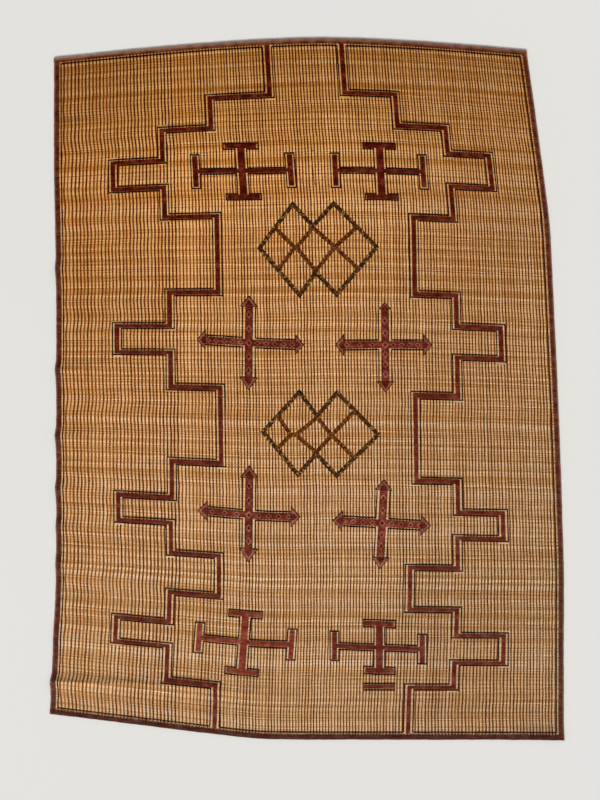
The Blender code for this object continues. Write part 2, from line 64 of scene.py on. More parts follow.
# Outline of the used mat, as offsets from its loom size
HEAD_CROWN = 0.0266
HEAD_CROWN_AT = 0.113
HEAD_FALL_LEFT = 0.0665
HEAD_FALL_RIGHT = 0.057
HEAD_FALL_POWER = 1.5
FOOT_SAG = 0.0259
FOOT_RISE_FROM = -0.20
FOOT_RISE_SLOPE = 0.128
FOOT_RISE_ROUND = 0.08
LEFT_SPREAD = 0.0049
LEFT_FLARE_FROM = -0.85
LEFT_FLARE_SLOPE = 0.045
LEFT_FLARE_ROUND = 0.05
RIGHT_SPREAD = 0.0316
RIGHT_TAPER_FROM = -0.75
RIGHT_TAPER_SLOPE = 0.0455
RIGHT_NECK_FROM = 0.72
RIGHT_NECK_SLOPE = 0.092
RIGHT_ROUND = 0.08
FAN = 0.026
FAN_CENTRE = 0.70
FAN_REACH = 0.30

# Stretches where the edges were drawn out or in, and how far inwards that reaches
DRAWN_REACH = 0.20
LEFT_DRAWN_OUT = 0.0095
LEFT_DRAWN_FROM = 0.40
LEFT_DRAWN_OVER = 0.60
RIGHT_DRAWN_IN = 0.010
RIGHT_DRAWN_FROM = 0.05
RIGHT_DRAWN_OVER = 1.15
HEAD_DRAWN_IN = 0.0045
FOOT_DRAWN_IN = 0.0050

# Rise over the folded binding, and the corner that curls up at the foot
EDGE_LIFT = LEATHER + GAP
EDGE_LIFT_REACH = 0.09
CURL_HEIGHT = 0.008
CURL_ALONG = 0.10
CURL_ACROSS = 0.32

# Ridges that start at the left edge
Ridge = namedtuple("Ridge", "crest height reach headward footward")
RIDGES = (
    Ridge(0.510, 0.012, 0.22, 0.07, 0.12),
    Ridge(0.070, 0.014, 0.24, 0.06, 0.10),
    Ridge(-0.215, 0.016, 0.22, 0.06, 0.11),
    Ridge(-0.445, 0.012, 0.20, 0.06, 0.09),
    Ridge(-0.615, 0.008, 0.17, 0.05, 0.07),
    Ridge(-0.780, 0.009, 0.17, 0.07, 0.09),
    Ridge(-1.100, 0.007, 0.17, 0.12, 0.09),
)
CREASE = Ridge(-1.250, 0.018, 1.40, 0.045, 0.08)
CREASE_DROP = 0.040
CREASE_DROP_REACH = 0.45
RIDGE_SHARPNESS = 1.6
RIDGE_FADE = 1.4
RIDGE_PUSH = 0.15

# Leather
BAND_WIDTH_HEAD = 0.0200
BAND_WIDTH_FOOT = 0.0172
BAND_NARROWS = (0.10, -0.60)
BAND_LACE = 0.0188
LACE_ABOVE = 0.0068
LACE_BELOW = 0.0044
LACE_WIDTH = 0.0054
LACE_STEP = 0.0042
LACE_LOW = 0.0046
LACE_TOP = 0.0063
BESIDE_BINDING = 0.0298
LEATHER_LOW = 0.0052
CREASE_ANGLE = 0.4
LEATHER_TOP = 0.0064
LEATHER_STEP = 0.0001
DARK_EDGE = 0.0020
PLATE_STEP = 0.02

# Arrow heads: dark rim, where the red core starts and its share of the width
HEAD_RIM = 0.0032
CORE_FROM = 0.40
CORE_SHARE = 0.72
CHEVRON_TONE = 0.72
CORE_TONE = 0.40

# Diamonds: half sizes across and along an arm, how much of it the hole in the ring and the
# dot take up, and how much of a head they leave free
DIAMOND_UPRIGHT = (0.0128, 0.0172)
DIAMOND_SIDEWAYS = (0.0108, 0.0135)
DIAMOND_MIDDLE = (0.0140, 0.0165)
RING_HOLE = 0.62
DOT_ACROSS = 0.30
DOT_ALONG = 0.28
DIAMONDS_STOP = 0.45
RING_TONE = 0.85
DOT_TONE = 1.0

# Plaits: spacing of the slanted stitches in the rim and in the bars, how far from the middle
# they lie and how long they are for the plait's width, and their slant
RIM_PITCH = 0.0040
BAR_PITCH = 0.0038
PLAIT_ASIDE = 0.24
PLAIT_LONG = 0.60
PLAIT_SLANT = 0.62
PLAIT_LOW = 0.0048
PLAIT_TOP = 0.0067
DARK_TONES = (0.05, 0.1, 0.15, 0.2, 0.25, 0.3, 0.45, 0.5, 0.8)
BROWN_TONES = (0.1, 0.2, 0.3, 0.35, 0.4, 0.5, 0.6, 0.75)

# Stitches along the inner edge of the binding, and the lone bracket near the head
STITCH_FROM = 0.006
STITCH_PITCH = 0.0126
STITCH_TONES = (0.2, 0.9)
BRACKET = ((0.060, 0.975), (0.046, 0.976), (0.049, 0.838), (0.061, 0.838))

# Each band goes down the mat in steps: a run at across, down to where it turns at ends_at
# into a cross run of the given width
Run = namedtuple("Run", "across ends_at width")
BAND_LEFT = (
    Run(-0.113, 1.208, 0.014),
    Run(-0.374, 1.084, 0.014),
    Run(-0.587, 0.958, 0.014),
    Run(-0.801, 0.843, 0.015),
    Run(-0.585, 0.718, 0.014),
    Run(-0.365, 0.400, 0.018),
    Run(-0.569, 0.260, 0.014),
    Run(-0.790, 0.148, 0.014),
    Run(-0.567, 0.004, 0.018),
    Run(-0.362, -0.310, 0.019),
    Run(-0.567, -0.462, 0.018),
    Run(-0.788, -0.570, 0.015),
    Run(-0.573, -0.695, 0.014),
    Run(-0.377, -0.862, 0.017),
    Run(-0.578, -0.987, 0.014),
    Run(-0.793, -1.089, 0.012),
    Run(-0.580, -1.232, 0.018),
    Run(-0.379, -HALF_LENGTH, 0.014),
)
BAND_RIGHT = (
    Run(0.199, 1.212, 0.014),
    Run(0.414, 1.084, 0.019),
    Run(0.626, 0.980, 0.016),
    Run(0.810, 0.844, 0.014),
    Run(0.626, 0.709, 0.017),
    Run(0.454, 0.394, 0.017),
    Run(0.628, 0.267, 0.018),
    Run(0.814, 0.139, 0.015),
    Run(0.627, -0.022, 0.020),
    Run(0.450, -0.373, 0.017),
    Run(0.618, -0.499, 0.016),
    Run(0.798, -0.605, 0.014),
    Run(0.613, -0.730, 0.015),
    Run(0.420, -0.902, 0.013),
    Run(0.611, -1.006, 0.012),
    Run(0.796, -1.119, 0.012),
    Run(0.606, -1.220, 0.013),
    Run(0.430, -HALF_LENGTH, 0.014),
)

# Quarters of a cross, round from the upper right
QUARTERS = ((1, 1), (-1, 1), (-1, -1), (1, -1))

# Crosses: centre, the reach of each arm, how far the long arm leans for its length, and
# how far the side arms rise to the right for theirs
Cross = namedtuple("Cross", "a b up down left right lean tilt")
TEES = {
    "tee_head_left": Cross(-0.248, 0.901, 0.102, 0.107, 0.200, 0.203, -0.015, -0.018),
    "tee_head_right": Cross(0.328, 0.896, 0.102, 0.107, 0.189, 0.182, 0.015, 0.013),
    "tee_foot_left": Cross(-0.271, -1.044, 0.116, 0.122, 0.182, 0.198, 0.042, -0.013),
    "tee_foot_right": Cross(0.301, -1.058, 0.098, 0.094, 0.190, 0.176, -0.030, -0.031),
}
ARROWS = {
    "arrow_head_left": Cross(-0.239, 0.193, 0.192, 0.194, 0.215, 0.227, 0.024, -0.055),
    "arrow_head_right": Cross(0.327, 0.183, 0.173, 0.195, 0.206, 0.194, 0.002, 0.022),
    "arrow_foot_left": Cross(-0.251, -0.517, 0.202, 0.195, 0.209, 0.213, 0.027, -0.032),
    "arrow_foot_right": Cross(0.306, -0.548, 0.178, 0.187, 0.206, 0.199, 0.057, -0.044),
}
DASH_AT = (0.306, -1.218)
DASH_HALF = 0.066
DASH_WIDTH = 0.013
DASH_LACE_AWAY = 0.0070

# Arms and bars of a T-cross: their widths, and the half lengths of the bars
Tee = namedtuple("Tee", "arm_along arm_across side_bar end_bar side_half end_half")
TEE_SIZES = {
    "tee_head_left": Tee(0.0315, 0.0150, 0.0225, 0.0165, 0.0635, 0.0670),
    "tee_head_right": Tee(0.0315, 0.0150, 0.0215, 0.0165, 0.0635, 0.0620),
    "tee_foot_left": Tee(0.0285, 0.0175, 0.0205, 0.0180, 0.0570, 0.0615),
    "tee_foot_right": Tee(0.0285, 0.0165, 0.0205, 0.0180, 0.0560, 0.0590),
}
TEE_LACES = {
    "tee_head_left": Tee(0.0495, 0.0230, 0.0375, 0.0245, 0.0705, 0.0750),
    "tee_head_right": Tee(0.0495, 0.0230, 0.0375, 0.0245, 0.0705, 0.0690),
    "tee_foot_left": Tee(0.0450, 0.0295, 0.0385, 0.0305, 0.0630, 0.0680),
    "tee_foot_right": Tee(0.0450, 0.0280, 0.0375, 0.0305, 0.0605, 0.0660),
}

# Heads of an arrow cross: half widths and lengths
Heads = namedtuple("Heads", "up up_long down down_long side side_long")
ARROW_HEADS = {
    "arrow_head_left": Heads(0.0365, 0.044, 0.0360, 0.050, 0.0400, 0.033),
    "arrow_head_right": Heads(0.0245, 0.027, 0.0340, 0.044, 0.0430, 0.034),
    "arrow_foot_left": Heads(0.0355, 0.048, 0.0365, 0.056, 0.0410, 0.038),
    "arrow_foot_right": Heads(0.0340, 0.042, 0.0350, 0.046, 0.0400, 0.039),
}

ARROW_ARM_ALONG = 0.0325
ARROW_ARM_ACROSS = 0.0285
ARROW_LACE_ALONG = 0.0268
ARROW_LACE_ACROSS = 0.0200

# Distances of the diamonds on the arms of each arrow cross
Steps = namedtuple("Steps", "up down left right")
DIAMOND_STEPS = {
    "arrow_head_left": Steps(0.058, 0.057, 0.034, 0.036),
    "arrow_head_right": Steps(0.049, 0.040, 0.053, 0.034),
    "arrow_foot_left": Steps(0.060, 0.054, 0.050, 0.041),
    "arrow_foot_right": Steps(0.052, 0.047, 0.040, 0.039),
}

# Lattices: two diamonds that overlap, in one rim
LATTICE_RIM = 0.016
LATTICE_BAR = 0.015
BAR_MEETING = 0.006
Lattice = namedtuple("Lattice", (
    "a b tilt half_wide half_up half_down up down up_shift down_shift "
    "notch_up notch_down notch_up_shift notch_down_shift "
    "left_crossing right_crossing crossing_drop waist left_joint right_joint"))
LATTICES = {
    "lattice_head": Lattice(
        a=0.055, b=0.582, tilt=0.001, half_wide=0.242, half_up=0.084, half_down=0.0765,
        up=0.176, down=0.197, up_shift=0.015, down_shift=0.003,
        notch_up=0.084, notch_down=0.106, notch_up_shift=0.0195, notch_down_shift=0.011,
        left_crossing=-0.092, right_crossing=0.069, crossing_drop=0.002, waist=0.003,
        left_joint=0.46, right_joint=0.46),
    "lattice_foot": Lattice(
        a=0.054, b=-0.180, tilt=-0.026, half_wide=0.240, half_up=0.079, half_down=0.081,
        up=0.166, down=0.174, up_shift=0.008, down_shift=0.017,
        notch_up=0.068, notch_down=0.087, notch_up_shift=0.014, notch_down_shift=0.021,
        left_crossing=-0.115, right_crossing=0.045, crossing_drop=0.010, waist=0.011,
        left_joint=0.40, right_joint=0.57),
}

# Reeds: their number, their heights over the mat's underside, and the lines of facets
REEDS = 690
REED_UNEVEN = 0.16
REED_WANDER = 0.0004
REED_TOP = 0.00435
REED_SHOULDER = 0.0038
REED_VALLEY = 0.0028
REED_LOW_VALLEY = 0.0020
REED_BOTTOM = 0.00035
REED_CLOSE_REACH = 0.27
REED_COLUMN_CLOSE = 0.045
REED_COLUMN_WIDE = 0.115

# Thongs: spacing in the left part and in the rest, where it changes, and their weave
FIRST_THONG = 0.0127
THONG_PITCH_LEFT = 0.0149
THONG_PITCH_MIDDLE = 0.0129
THONG_PITCH_RIGHT = 0.0131
THONG_CHANGE_FROM = -0.60
THONG_CHANGE_TO = -0.28
THONG_SHARE = 0.455
THONG_SWAY = 0.0012
SIDE_SWAY = 0.0033
SWAY_FROM = -0.85
SWAY_OVER = 0.45
THONG_OVER = 0.0052
THONG_TURN = 0.0043
THONG_THIRD = 0.0047
THONG_THIRD_WIDTH = 0.80
THONG_WANDER = 0.0007
THONG_SLIPS = 0.16
THONG_CHANGE_RIGHT = 0.4

# Leathers that are darker, below 0.5, or lighter and more faded than the rest
LEATHER_TONES = {
    "tee_foot_left": 1.0,
    "arrow_head_left": 0.72,
    "arrow_head_right": 0.76,
    "arrow_foot_left": 0.60,
    "arrow_foot_right": 0.70,
    "binding_foot": 0.25,
}

# Colours from 0 to 255. The dyes of reeds, thongs and leathers run from dark to light,
# first fresh and then faded, at the stops of a ramp
REED_STOPS = (0.14, 0.40, 0.62, 0.88)
REED_DYES = (((142, 82, 18), (203, 141, 63), (235, 180, 112), (246, 210, 155)),
             ((158, 110, 60), (216, 171, 118), (241, 209, 171), (243, 225, 197)))
# Painted shade in the valleys between the reeds
REED_VALLEY_SHADE = (58, 22, 0)
THONG_STOPS = (0.2, 0.5, 0.9)
THONG_DYES = (((62, 18, 0), (104, 38, 0), (158, 80, 12)),
              ((72, 32, 2), (112, 62, 16), (174, 116, 58)))
LEATHER_STOPS = (0.36, 0.50, 0.64)
RED_DYES = (((46, 4, 0), (70, 13, 2), (104, 42, 20)),
            ((76, 28, 18), (98, 42, 32), (122, 66, 52)))
BINDING_DYES = (((50, 19, 8), (80, 37, 21), (106, 60, 40)),
                ((62, 29, 21), (82, 46, 35), (102, 67, 56)))
LACE_DYES = (((16, 6, 3), (28, 12, 6), (44, 22, 14)),
             ((30, 18, 13), (46, 28, 21), (64, 42, 34)))
FADED_DYES = (((84, 36, 22), (108, 54, 36), (134, 78, 56)),
              ((100, 54, 42), (124, 74, 60), (146, 98, 80)))
# Painted highlight along the outer fold of the binding
PAINTED_FOLD_HIGHLIGHT = (168, 130, 108)
WORN = 0.3

# Stops and dyes of the stitches
STITCHES = ((0.0, 0.5, 1.0), ((92, 50, 34), (150, 104, 78), (200, 160, 126)))
DARK_PLAIT = ((0.0, 0.35, 0.55, 0.85), ((32, 18, 4), (66, 42, 14), (106, 72, 36), (160, 122, 80)))
BROWN_PLAIT = ((0.0, 0.35, 0.6, 0.85), ((34, 11, 2), (82, 38, 8), (110, 62, 21), (136, 94, 48)))

# Floor and light
FLOOR_HALF = 9.0
FLOOR_TINT = (220, 219, 216)
SUN_STRENGTH = 3.35
SUN_ANGLE = 0.30
SUN_TINT = (1.0, 0.985, 0.96)
SUN_WAY = (0.14, 0.80, -0.58)
SKY_STRENGTH = 0.485
SKY_TINT = (0.98, 0.99, 1.0, 1.0)

# Camera: straight above, at the photograph's frame
CAMERA_HEIGHT = 3.6
CAMERA_AT = (-0.0334, -0.0459)
FRAME_LONG_SIDE = 3.336
SENSOR = 36.0

# Painted light on the reeds and thongs: their brightness, and how much painted shade darkens
# the head, the right part and the left of the head half
PAINTED_BRIGHTNESS = 1.05
HEAD_SHADE = 0.30
RIGHT_SHADE = 0.15
LEFT_SHADE = 0.14

# Darker streaks and patches on the reeds, some of them painted shade: place, half sizes and how dark
DarkPatch = namedtuple("DarkPatch", "a b wide high dark")
DARK_PATCHES = (
    DarkPatch(-0.20, -0.607, 0.30, 0.030, 0.16),
    DarkPatch(0.02, -0.780, 0.12, 0.014, 0.10),
    DarkPatch(0.68, -1.290, 0.20, 0.016, 0.16),
    DarkPatch(0.90, -1.315, 0.16, 0.014, 0.16),
    DarkPatch(-0.98, 1.160, 0.12, 0.020, 0.16),
    DarkPatch(-0.69, 0.900, 0.12, 0.035, 0.22),
    # Painted shade where the foot's right corner curls up
    DarkPatch(0.97, -1.400, 0.13, 0.050, 0.20),
    # Painted shade along the long crease near the foot
    DarkPatch(-0.10, -1.300, 0.50, 0.012, 0.22),
    # Painted shade where the light is weaker at the right
    DarkPatch(0.95, 0.750, 0.50, 0.450, 0.08),
    DarkPatch(0.55, -0.950, 0.45, 0.350, 0.06),
    # Painted shade over a ridge at the left edge
    DarkPatch(-0.90, 0.110, 0.20, 0.018, 0.16),
)


# Where the used mat lies

def soft_ramp(value, radius):
    """Nothing below zero and the value itself above, rounded over the radius."""
    return (value + np.hypot(value, radius)) / 2


def soft_bump(value):
    """One at zero, falling smoothly to nothing at one."""
    return np.maximum(0.0, 1.0 - value * value) ** 2


def smooth_step(value):
    """Zero below zero, one above one, and smooth between."""
    t = np.clip(value, 0.0, 1.0)
    return t * t * (3 - 2 * t)


def near(edge, place_at):
    """One at an edge, falling smoothly to nothing where its pull ends."""
    return smooth_step(1.0 - (edge - place_at) / DRAWN_REACH)


def drawn(a, b):
    """How far the pull of the nearest edges moved a loom point, across and along."""
    left = LEFT_DRAWN_OUT * smooth_step((b - LEFT_DRAWN_FROM) / LEFT_DRAWN_OVER)
    right = RIGHT_DRAWN_IN * smooth_step((RIGHT_DRAWN_FROM - b) / RIGHT_DRAWN_OVER)
    across = -left * near(HALF_WIDTH, -a) - right * near(HALF_WIDTH, a)
    along = FOOT_DRAWN_IN * near(HALF_LENGTH, -b) - HEAD_DRAWN_IN * near(HALF_LENGTH, b)
    return across, along


def head_edge(a):
    """Offset of the head edge: a low crown right of the middle."""
    from_crown = a - HEAD_CROWN_AT
    fall = np.where(from_crown < 0, HEAD_FALL_LEFT, HEAD_FALL_RIGHT)
    return HEAD_CROWN - fall * np.abs(from_crown) ** HEAD_FALL_POWER


def foot_edge(a):
    """Offset of the foot edge: straight, but rising towards the left corner."""
    return FOOT_RISE_SLOPE * soft_ramp(FOOT_RISE_FROM - a, FOOT_RISE_ROUND) - FOOT_SAG


def left_edge(b):
    """Offset of the left edge: straight, but flaring near the foot."""
    return -LEFT_SPREAD - LEFT_FLARE_SLOPE * soft_ramp(LEFT_FLARE_FROM - b, LEFT_FLARE_ROUND)


def right_edge(b):
    """Offset of the right edge: drawn in slowly, then faster near the head."""
    taper = RIGHT_TAPER_SLOPE * soft_ramp(b - RIGHT_TAPER_FROM, RIGHT_ROUND)
    neck = RIGHT_NECK_SLOPE * soft_ramp(b - RIGHT_NECK_FROM, RIGHT_ROUND)
    return RIGHT_SPREAD - taper - neck


def ridge_height(ridge, a, b, drop=0.0):
    """Height of one ridge: a sharp crest that fades inwards from the left edge."""
    fade = np.maximum(0.0, 1.0 - np.maximum(0.0, a + HALF_WIDTH) / ridge.reach)
    from_crest = b - (ridge.crest - drop)
    flank = np.where(from_crest > 0, ridge.headward, ridge.footward)
    slope = np.maximum(0.0, 1.0 - np.abs(from_crest) / flank)
    return ridge.height * fade ** RIDGE_FADE * slope ** RIDGE_SHARPNESS


def ridges(a, b):
    """Height of all the ridges and of the long crease."""
    drop = CREASE_DROP * np.clip(1.0 - (a + HALF_WIDTH) / CREASE_DROP_REACH, 0.0, 1.0)
    total = ridge_height(CREASE, a, b, drop)
    for ridge in RIDGES:
        total = total + ridge_height(ridge, a, b)
    return total


def underside(a, b):
    """Height of the mat's underside over the ground."""
    from_edge = np.minimum(HALF_WIDTH - np.abs(a), HALF_LENGTH - np.abs(b))
    lift = (EDGE_LIFT_REACH - from_edge) / (EDGE_LIFT_REACH - BINDING_WIDTH)
    edge = EDGE_LIFT * np.clip(lift, 0.0, 1.0)
    curl_along = np.maximum(0.0, 1.0 - np.maximum(0.0, b + HALF_LENGTH) / CURL_ALONG)
    curl_across = np.maximum(0.0, 1.0 - np.maximum(0.0, HALF_WIDTH - a) / CURL_ACROSS)
    return edge + CURL_HEIGHT * curl_along ** 2 * curl_across ** 2 + ridges(a, b)


def place(a, b, height):
    """Points at a height over the underside of the mat, one row each."""
    across = a / FIELD_WIDTH + 0.5
    along = b / FIELD_LENGTH + 0.5
    across = across + FAN * soft_bump((across - FAN_CENTRE) / FAN_REACH) * (along - 0.5)
    side = (1 - across) * left_edge(b) + across * right_edge(b)
    end = along * head_edge(a) + (1 - along) * foot_edge(a)
    drawn_across, drawn_along = drawn(a, b)
    x = (across - 0.5) * FIELD_WIDTH + side + drawn_across - RIDGE_PUSH * ridges(a, b)
    return np.stack([x, b + end + drawn_along, underside(a, b) + height], axis=-1)


# How the painted light and shade, dark patches and fading change over the mat

def fading(a, b):
    """From 0, fresh at the head's left corner, to 1, faded at the foot's right corner."""
    return smooth_step(0.52 - 0.34 * b + 0.10 * a)


def painted_shade_and_patches(a, b):
    """Painted brightness of the surface, about 1, lower in dark patches and in painted shade near the
    edges.
    """
    head = HEAD_SHADE * smooth_step((b - 0.80) / 0.65)
    not_head = 1 - 0.6 * smooth_step((b - 0.80) / 0.50)
    right = RIGHT_SHADE * smooth_step((a - 0.10) / 0.50) * not_head
    left = LEFT_SHADE * smooth_step((-0.50 - a) / 0.40) * smooth_step((b + 0.20) / 0.60)
    # Painted shade where the light is weaker: at the head, the right part and the left
    shade = PAINTED_BRIGHTNESS - head - right - left
    for dark_patch in DARK_PATCHES:
        # Dark patches, some of them painted shade of folds and of weaker light
        away = np.hypot((a - dark_patch.a) / dark_patch.wide, (b - dark_patch.b) / dark_patch.high)
        shade = shade - dark_patch.dark * soft_bump(away)
    return shade


# Meshes

def new_object(name, data):
    """Object in the scene."""
    obj = bpy.data.objects.new(name, data)
    bpy.context.scene.collection.objects.link(obj)
    return obj


def piece(name, a, b, height, faces, material, slot, replaces=(), recalc=True, **values):
    """Piece from loom coordinates, with its coordinates and values kept for its material."""
    a, b, height = [np.asarray(value, float).ravel() for value in (a, b, height)]
    mesh = bpy.data.meshes.new(name)
    mesh.from_pydata(place(a, b, height).tolist(), [], faces)
    if recalc:
        bm = bmesh.new()
        bm.from_mesh(mesh)
        bmesh.ops.recalc_face_normals(bm, faces=bm.faces)
        for edge in bm.edges:
            edge.smooth = len(edge.link_faces) == 2 and edge.calc_face_angle() < CREASE_ANGLE
        bm.to_mesh(mesh)
        bm.free()
    values["fade"] = fading(a, b)
    values["shade"] = painted_shade_and_patches(a, b)
    for key, value in values.items():
        attribute = mesh.attributes.new(key, "FLOAT", "POINT")
        attribute.data.foreach_set("value", np.asarray(value, np.float32).ravel())
    corners = np.zeros(len(mesh.loops), np.int32)
    mesh.loops.foreach_get("vertex_index", corners)
    uv = np.stack([a, b], axis=-1)[corners]
    mesh.uv_layers.new(name="loom").data.foreach_set("uv", uv.astype(np.float32).ravel())
    mesh.polygons.foreach_set("use_smooth", [True] * len(mesh.polygons))
    mesh.materials.append(material)
    obj = new_object(name, mesh)
    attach(obj, "root")
    if replaces:
        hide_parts(*replaces)
    return obj


def grid_faces(rows, columns, first=0, wrap=False, up=True):
    """Quads of a grid whose points are numbered along its rows."""
    i, j = np.meshgrid(np.arange(rows - 1), np.arange(columns if wrap else columns - 1), indexing="ij")
    corner = i * columns + j
    beside = i * columns + (j + 1) % columns
    corners = [corner, beside, beside + columns, corner + columns]
    if not up:
        corners = corners[::-1]
    return (np.stack(corners, axis=-1).reshape(-1, 4) + first).tolist()


def wobble(value, seed, shortest=0.04, longest=0.5):
    """Slow unevenness between about -1 and 1 along a length in metres."""
    rng = np.random.default_rng(seed)
    total = 0.0
    for wave in np.geomspace(shortest, longest, 5):
        total = total + np.sin(value * 2 * pi / wave + rng.uniform(0, 2 * pi))
    return total / 3.0


class Parts:
    """Several small meshes joined into one piece."""

    def __init__(self, own=0.5):
        self.own = own
        self.a, self.b, self.height, self.faces, self.tone = [], [], [], [], []
        self.count = 0

    def add(self, a, b, height, faces, tone=None):
        """Add one mesh, given in loom coordinates."""
        a = np.asarray(a, float).ravel()
        self.a.append(a)
        self.b.append(np.asarray(b, float).ravel())
        self.height.append(np.broadcast_to(np.asarray(height, float).ravel(), a.shape))
        self.tone.append(np.full(a.shape, self.own if tone is None else tone))
        self.faces += [[corner + self.count for corner in face] for face in faces]
        self.count += len(a)

    def make(self, name, material, slot, replaces=()):
        """The piece."""
        arrays = [np.concatenate(value) for value in (self.a, self.b, self.height)]
        return piece(name, *arrays, self.faces, material, slot, replaces, tone=np.concatenate(self.tone))


def offset_corner(before, corner, after, distance):
    """Corner of a line that runs to the left of two sides, at a distance from them."""
    first = (Vector(corner) - Vector(before)).normalized()
    second = (Vector(after) - Vector(corner)).normalized()
    normal_first = Vector((-first.y, first.x))
    normal_second = Vector((-second.y, second.x))
    middle = (normal_first + normal_second).normalized()
    return tuple(Vector(corner) + middle * distance / middle.dot(normal_first))


def offset_ring(ring, distance):
    """Closed outline moved to the left of its own direction by a distance."""
    count = len(ring)
    return [offset_corner(ring[i - 1], ring[i], ring[(i + 1) % count], distance) for i in range(count)]


def offset_line(line, distance):
    """Open line moved to the left of its own direction by a distance."""
    before = tuple(2 * Vector(line[0]) - Vector(line[1]))
    after = tuple(2 * Vector(line[-1]) - Vector(line[-2]))
    long = [before] + list(line) + [after]
    return [offset_corner(long[i - 1], long[i], long[i + 1], distance) for i in range(1, len(long) - 1)]


def between(start, end, share):
    """Point on the way from start to end."""
    return tuple(s + (e - s) * share for s, e in zip(start, end))


def sides_of(line, closed):
    """Start and end of each side of a line."""
    return zip(line, line[1:] + line[:1] if closed else line[1:])


def steps(line, closed, step):
    """Numbers of steps for each side of a line."""
    return [max(1, round(hypot(q[0] - p[0], q[1] - p[1]) / step)) for p, q in sides_of(line, closed)]


def refine(line, counts, closed):
    """The line with its sides cut into the given numbers of steps."""
    sides = zip(sides_of(line, closed), counts)
    points = [between(p, q, i / n) for (p, q), n in sides for i in range(n)]
    return np.array(points if closed else points + [line[-1]], float)


def ribbon(parts, left, right, section, closed=False, step=0.012, dip=0.0, uneven=0.0,
           seed=1, tone=None):
    """Strip between two lines. Its section is a loop of (share of the width, height)."""
    counts = steps(left, closed, step)
    left = refine(list(left), counts, closed)
    right = refine(list(right), counts, closed)
    length = np.cumsum(np.full(len(left), step))
    change = right - left
    width = np.maximum(np.linalg.norm(change, axis=1, keepdims=True), 1e-6)
    left = left + change / width * (wobble(length, seed) * uneven)[:, None]
    right = right + change / width * (wobble(length, seed + 1) * uneven)[:, None]
    share = np.array([s for s, h in section])
    height = np.array([h for s, h in section])
    points = left[:, None, :] + (right - left)[:, None, :] * share[None, :, None]
    middle = (height.max() + height.min()) / 2
    low = (np.arange(len(left)) % 2) * dip
    heights = height[None, :] - np.where(height[None, :] > middle, low[:, None], 0.0)
    rows, columns = points.shape[:2]
    faces = grid_faces(rows, columns, wrap=True)
    if closed:
        last = (rows - 1) * columns
        faces += [[last + j, last + (j + 1) % columns, (j + 1) % columns, j] for j in range(columns)]
    else:
        faces += [list(range(columns)), [(rows - 1) * columns + j for j in range(columns)][::-1]]
    parts.add(points[..., 0], points[..., 1], heights, faces, tone)


def rounded(low, top):
    """Section of a flat strip with soft edges."""
    edge = low + (top - low) * 0.55
    return ((0.0, low), (0.0, edge), (0.16, top), (0.84, top), (1.0, edge), (1.0, low))


def lace(parts, line, closed=False, width=LACE_WIDTH, top=LACE_TOP, seed=3):
    """Thin thong that dips between the reeds as it goes along a line."""
    move = offset_ring if closed else offset_line
    shoulder = top - 0.0004
    section = ((0.0, LACE_LOW), (0.1, shoulder), (0.5, top), (0.9, shoulder), (1.0, LACE_LOW))
    ribbon(parts, move(line, width / 2), move(line, -width / 2), section, closed,
           step=LACE_STEP, dip=0.0004, uneven=0.0004, seed=seed)


def bar(parts, start, end, width, top):
    """Straight flat strip of leather with a middle line from start to end."""
    sides = [offset_line([start, end], side * width / 2) for side in (1, -1)]
    section = rounded(LEATHER_LOW, top)
    ribbon(parts, *sides, section, step=0.01, uneven=0.0004, seed=round(1000 * width))


def plate(parts, outline, low, top, soft=0.0012, tone=None):
    """Flat leather in the shape of an outline that runs anticlockwise, with soft edges."""
    counts = steps(outline, True, PLATE_STEP)
    ring = [tuple(point) for point in refine(list(outline), counts, True)]
    inner = offset_ring(ring, soft)
    count = len(ring)
    rings = (ring, ring, inner)
    heights = (low, low + (top - low) * 0.5, top)
    points = np.array([point for line in rings for point in line])
    height = np.repeat(heights, count)
    faces = grid_faces(3, count, wrap=True)
    triangles = tessellate_polygon([[Vector((x, y, 0)) for x, y in inner]])
    faces += [[corner + 2 * count for corner in triangle] for triangle in triangles]
    faces += [list(triangle)[::-1] for triangle in triangles]
    parts.add(points[:, 0], points[:, 1], height, faces, tone)


def stitch(parts, centre, direction, length, width, low, top, tone):
    """Short arched thong with its middle at a centre."""
    along = np.array([-0.5, -0.36, 0.0, 0.36, 0.5]) * length
    rise = np.array([0.0, 0.75, 1.0, 0.75, 0.0])
    across = np.array([-0.5, 0.0, 0.5]) * width
    crown = np.array([0.55, 1.0, 0.55])
    dx, dy = direction
    a = centre[0] + along[:, None] * dx - across[None, :] * dy
    b = centre[1] + along[:, None] * dy + across[None, :] * dx
    height = low + (top - low) * rise[:, None] * crown[None, :]
    parts.add(a, b, height, grid_faces(5, 3), tone)


# Materials

def colour(red, green, blue):
    """Linear colour from values between 0 and 255 as seen on a screen."""
    return tuple((value / 255) ** 2.2 for value in (red, green, blue)) + (1.0,)


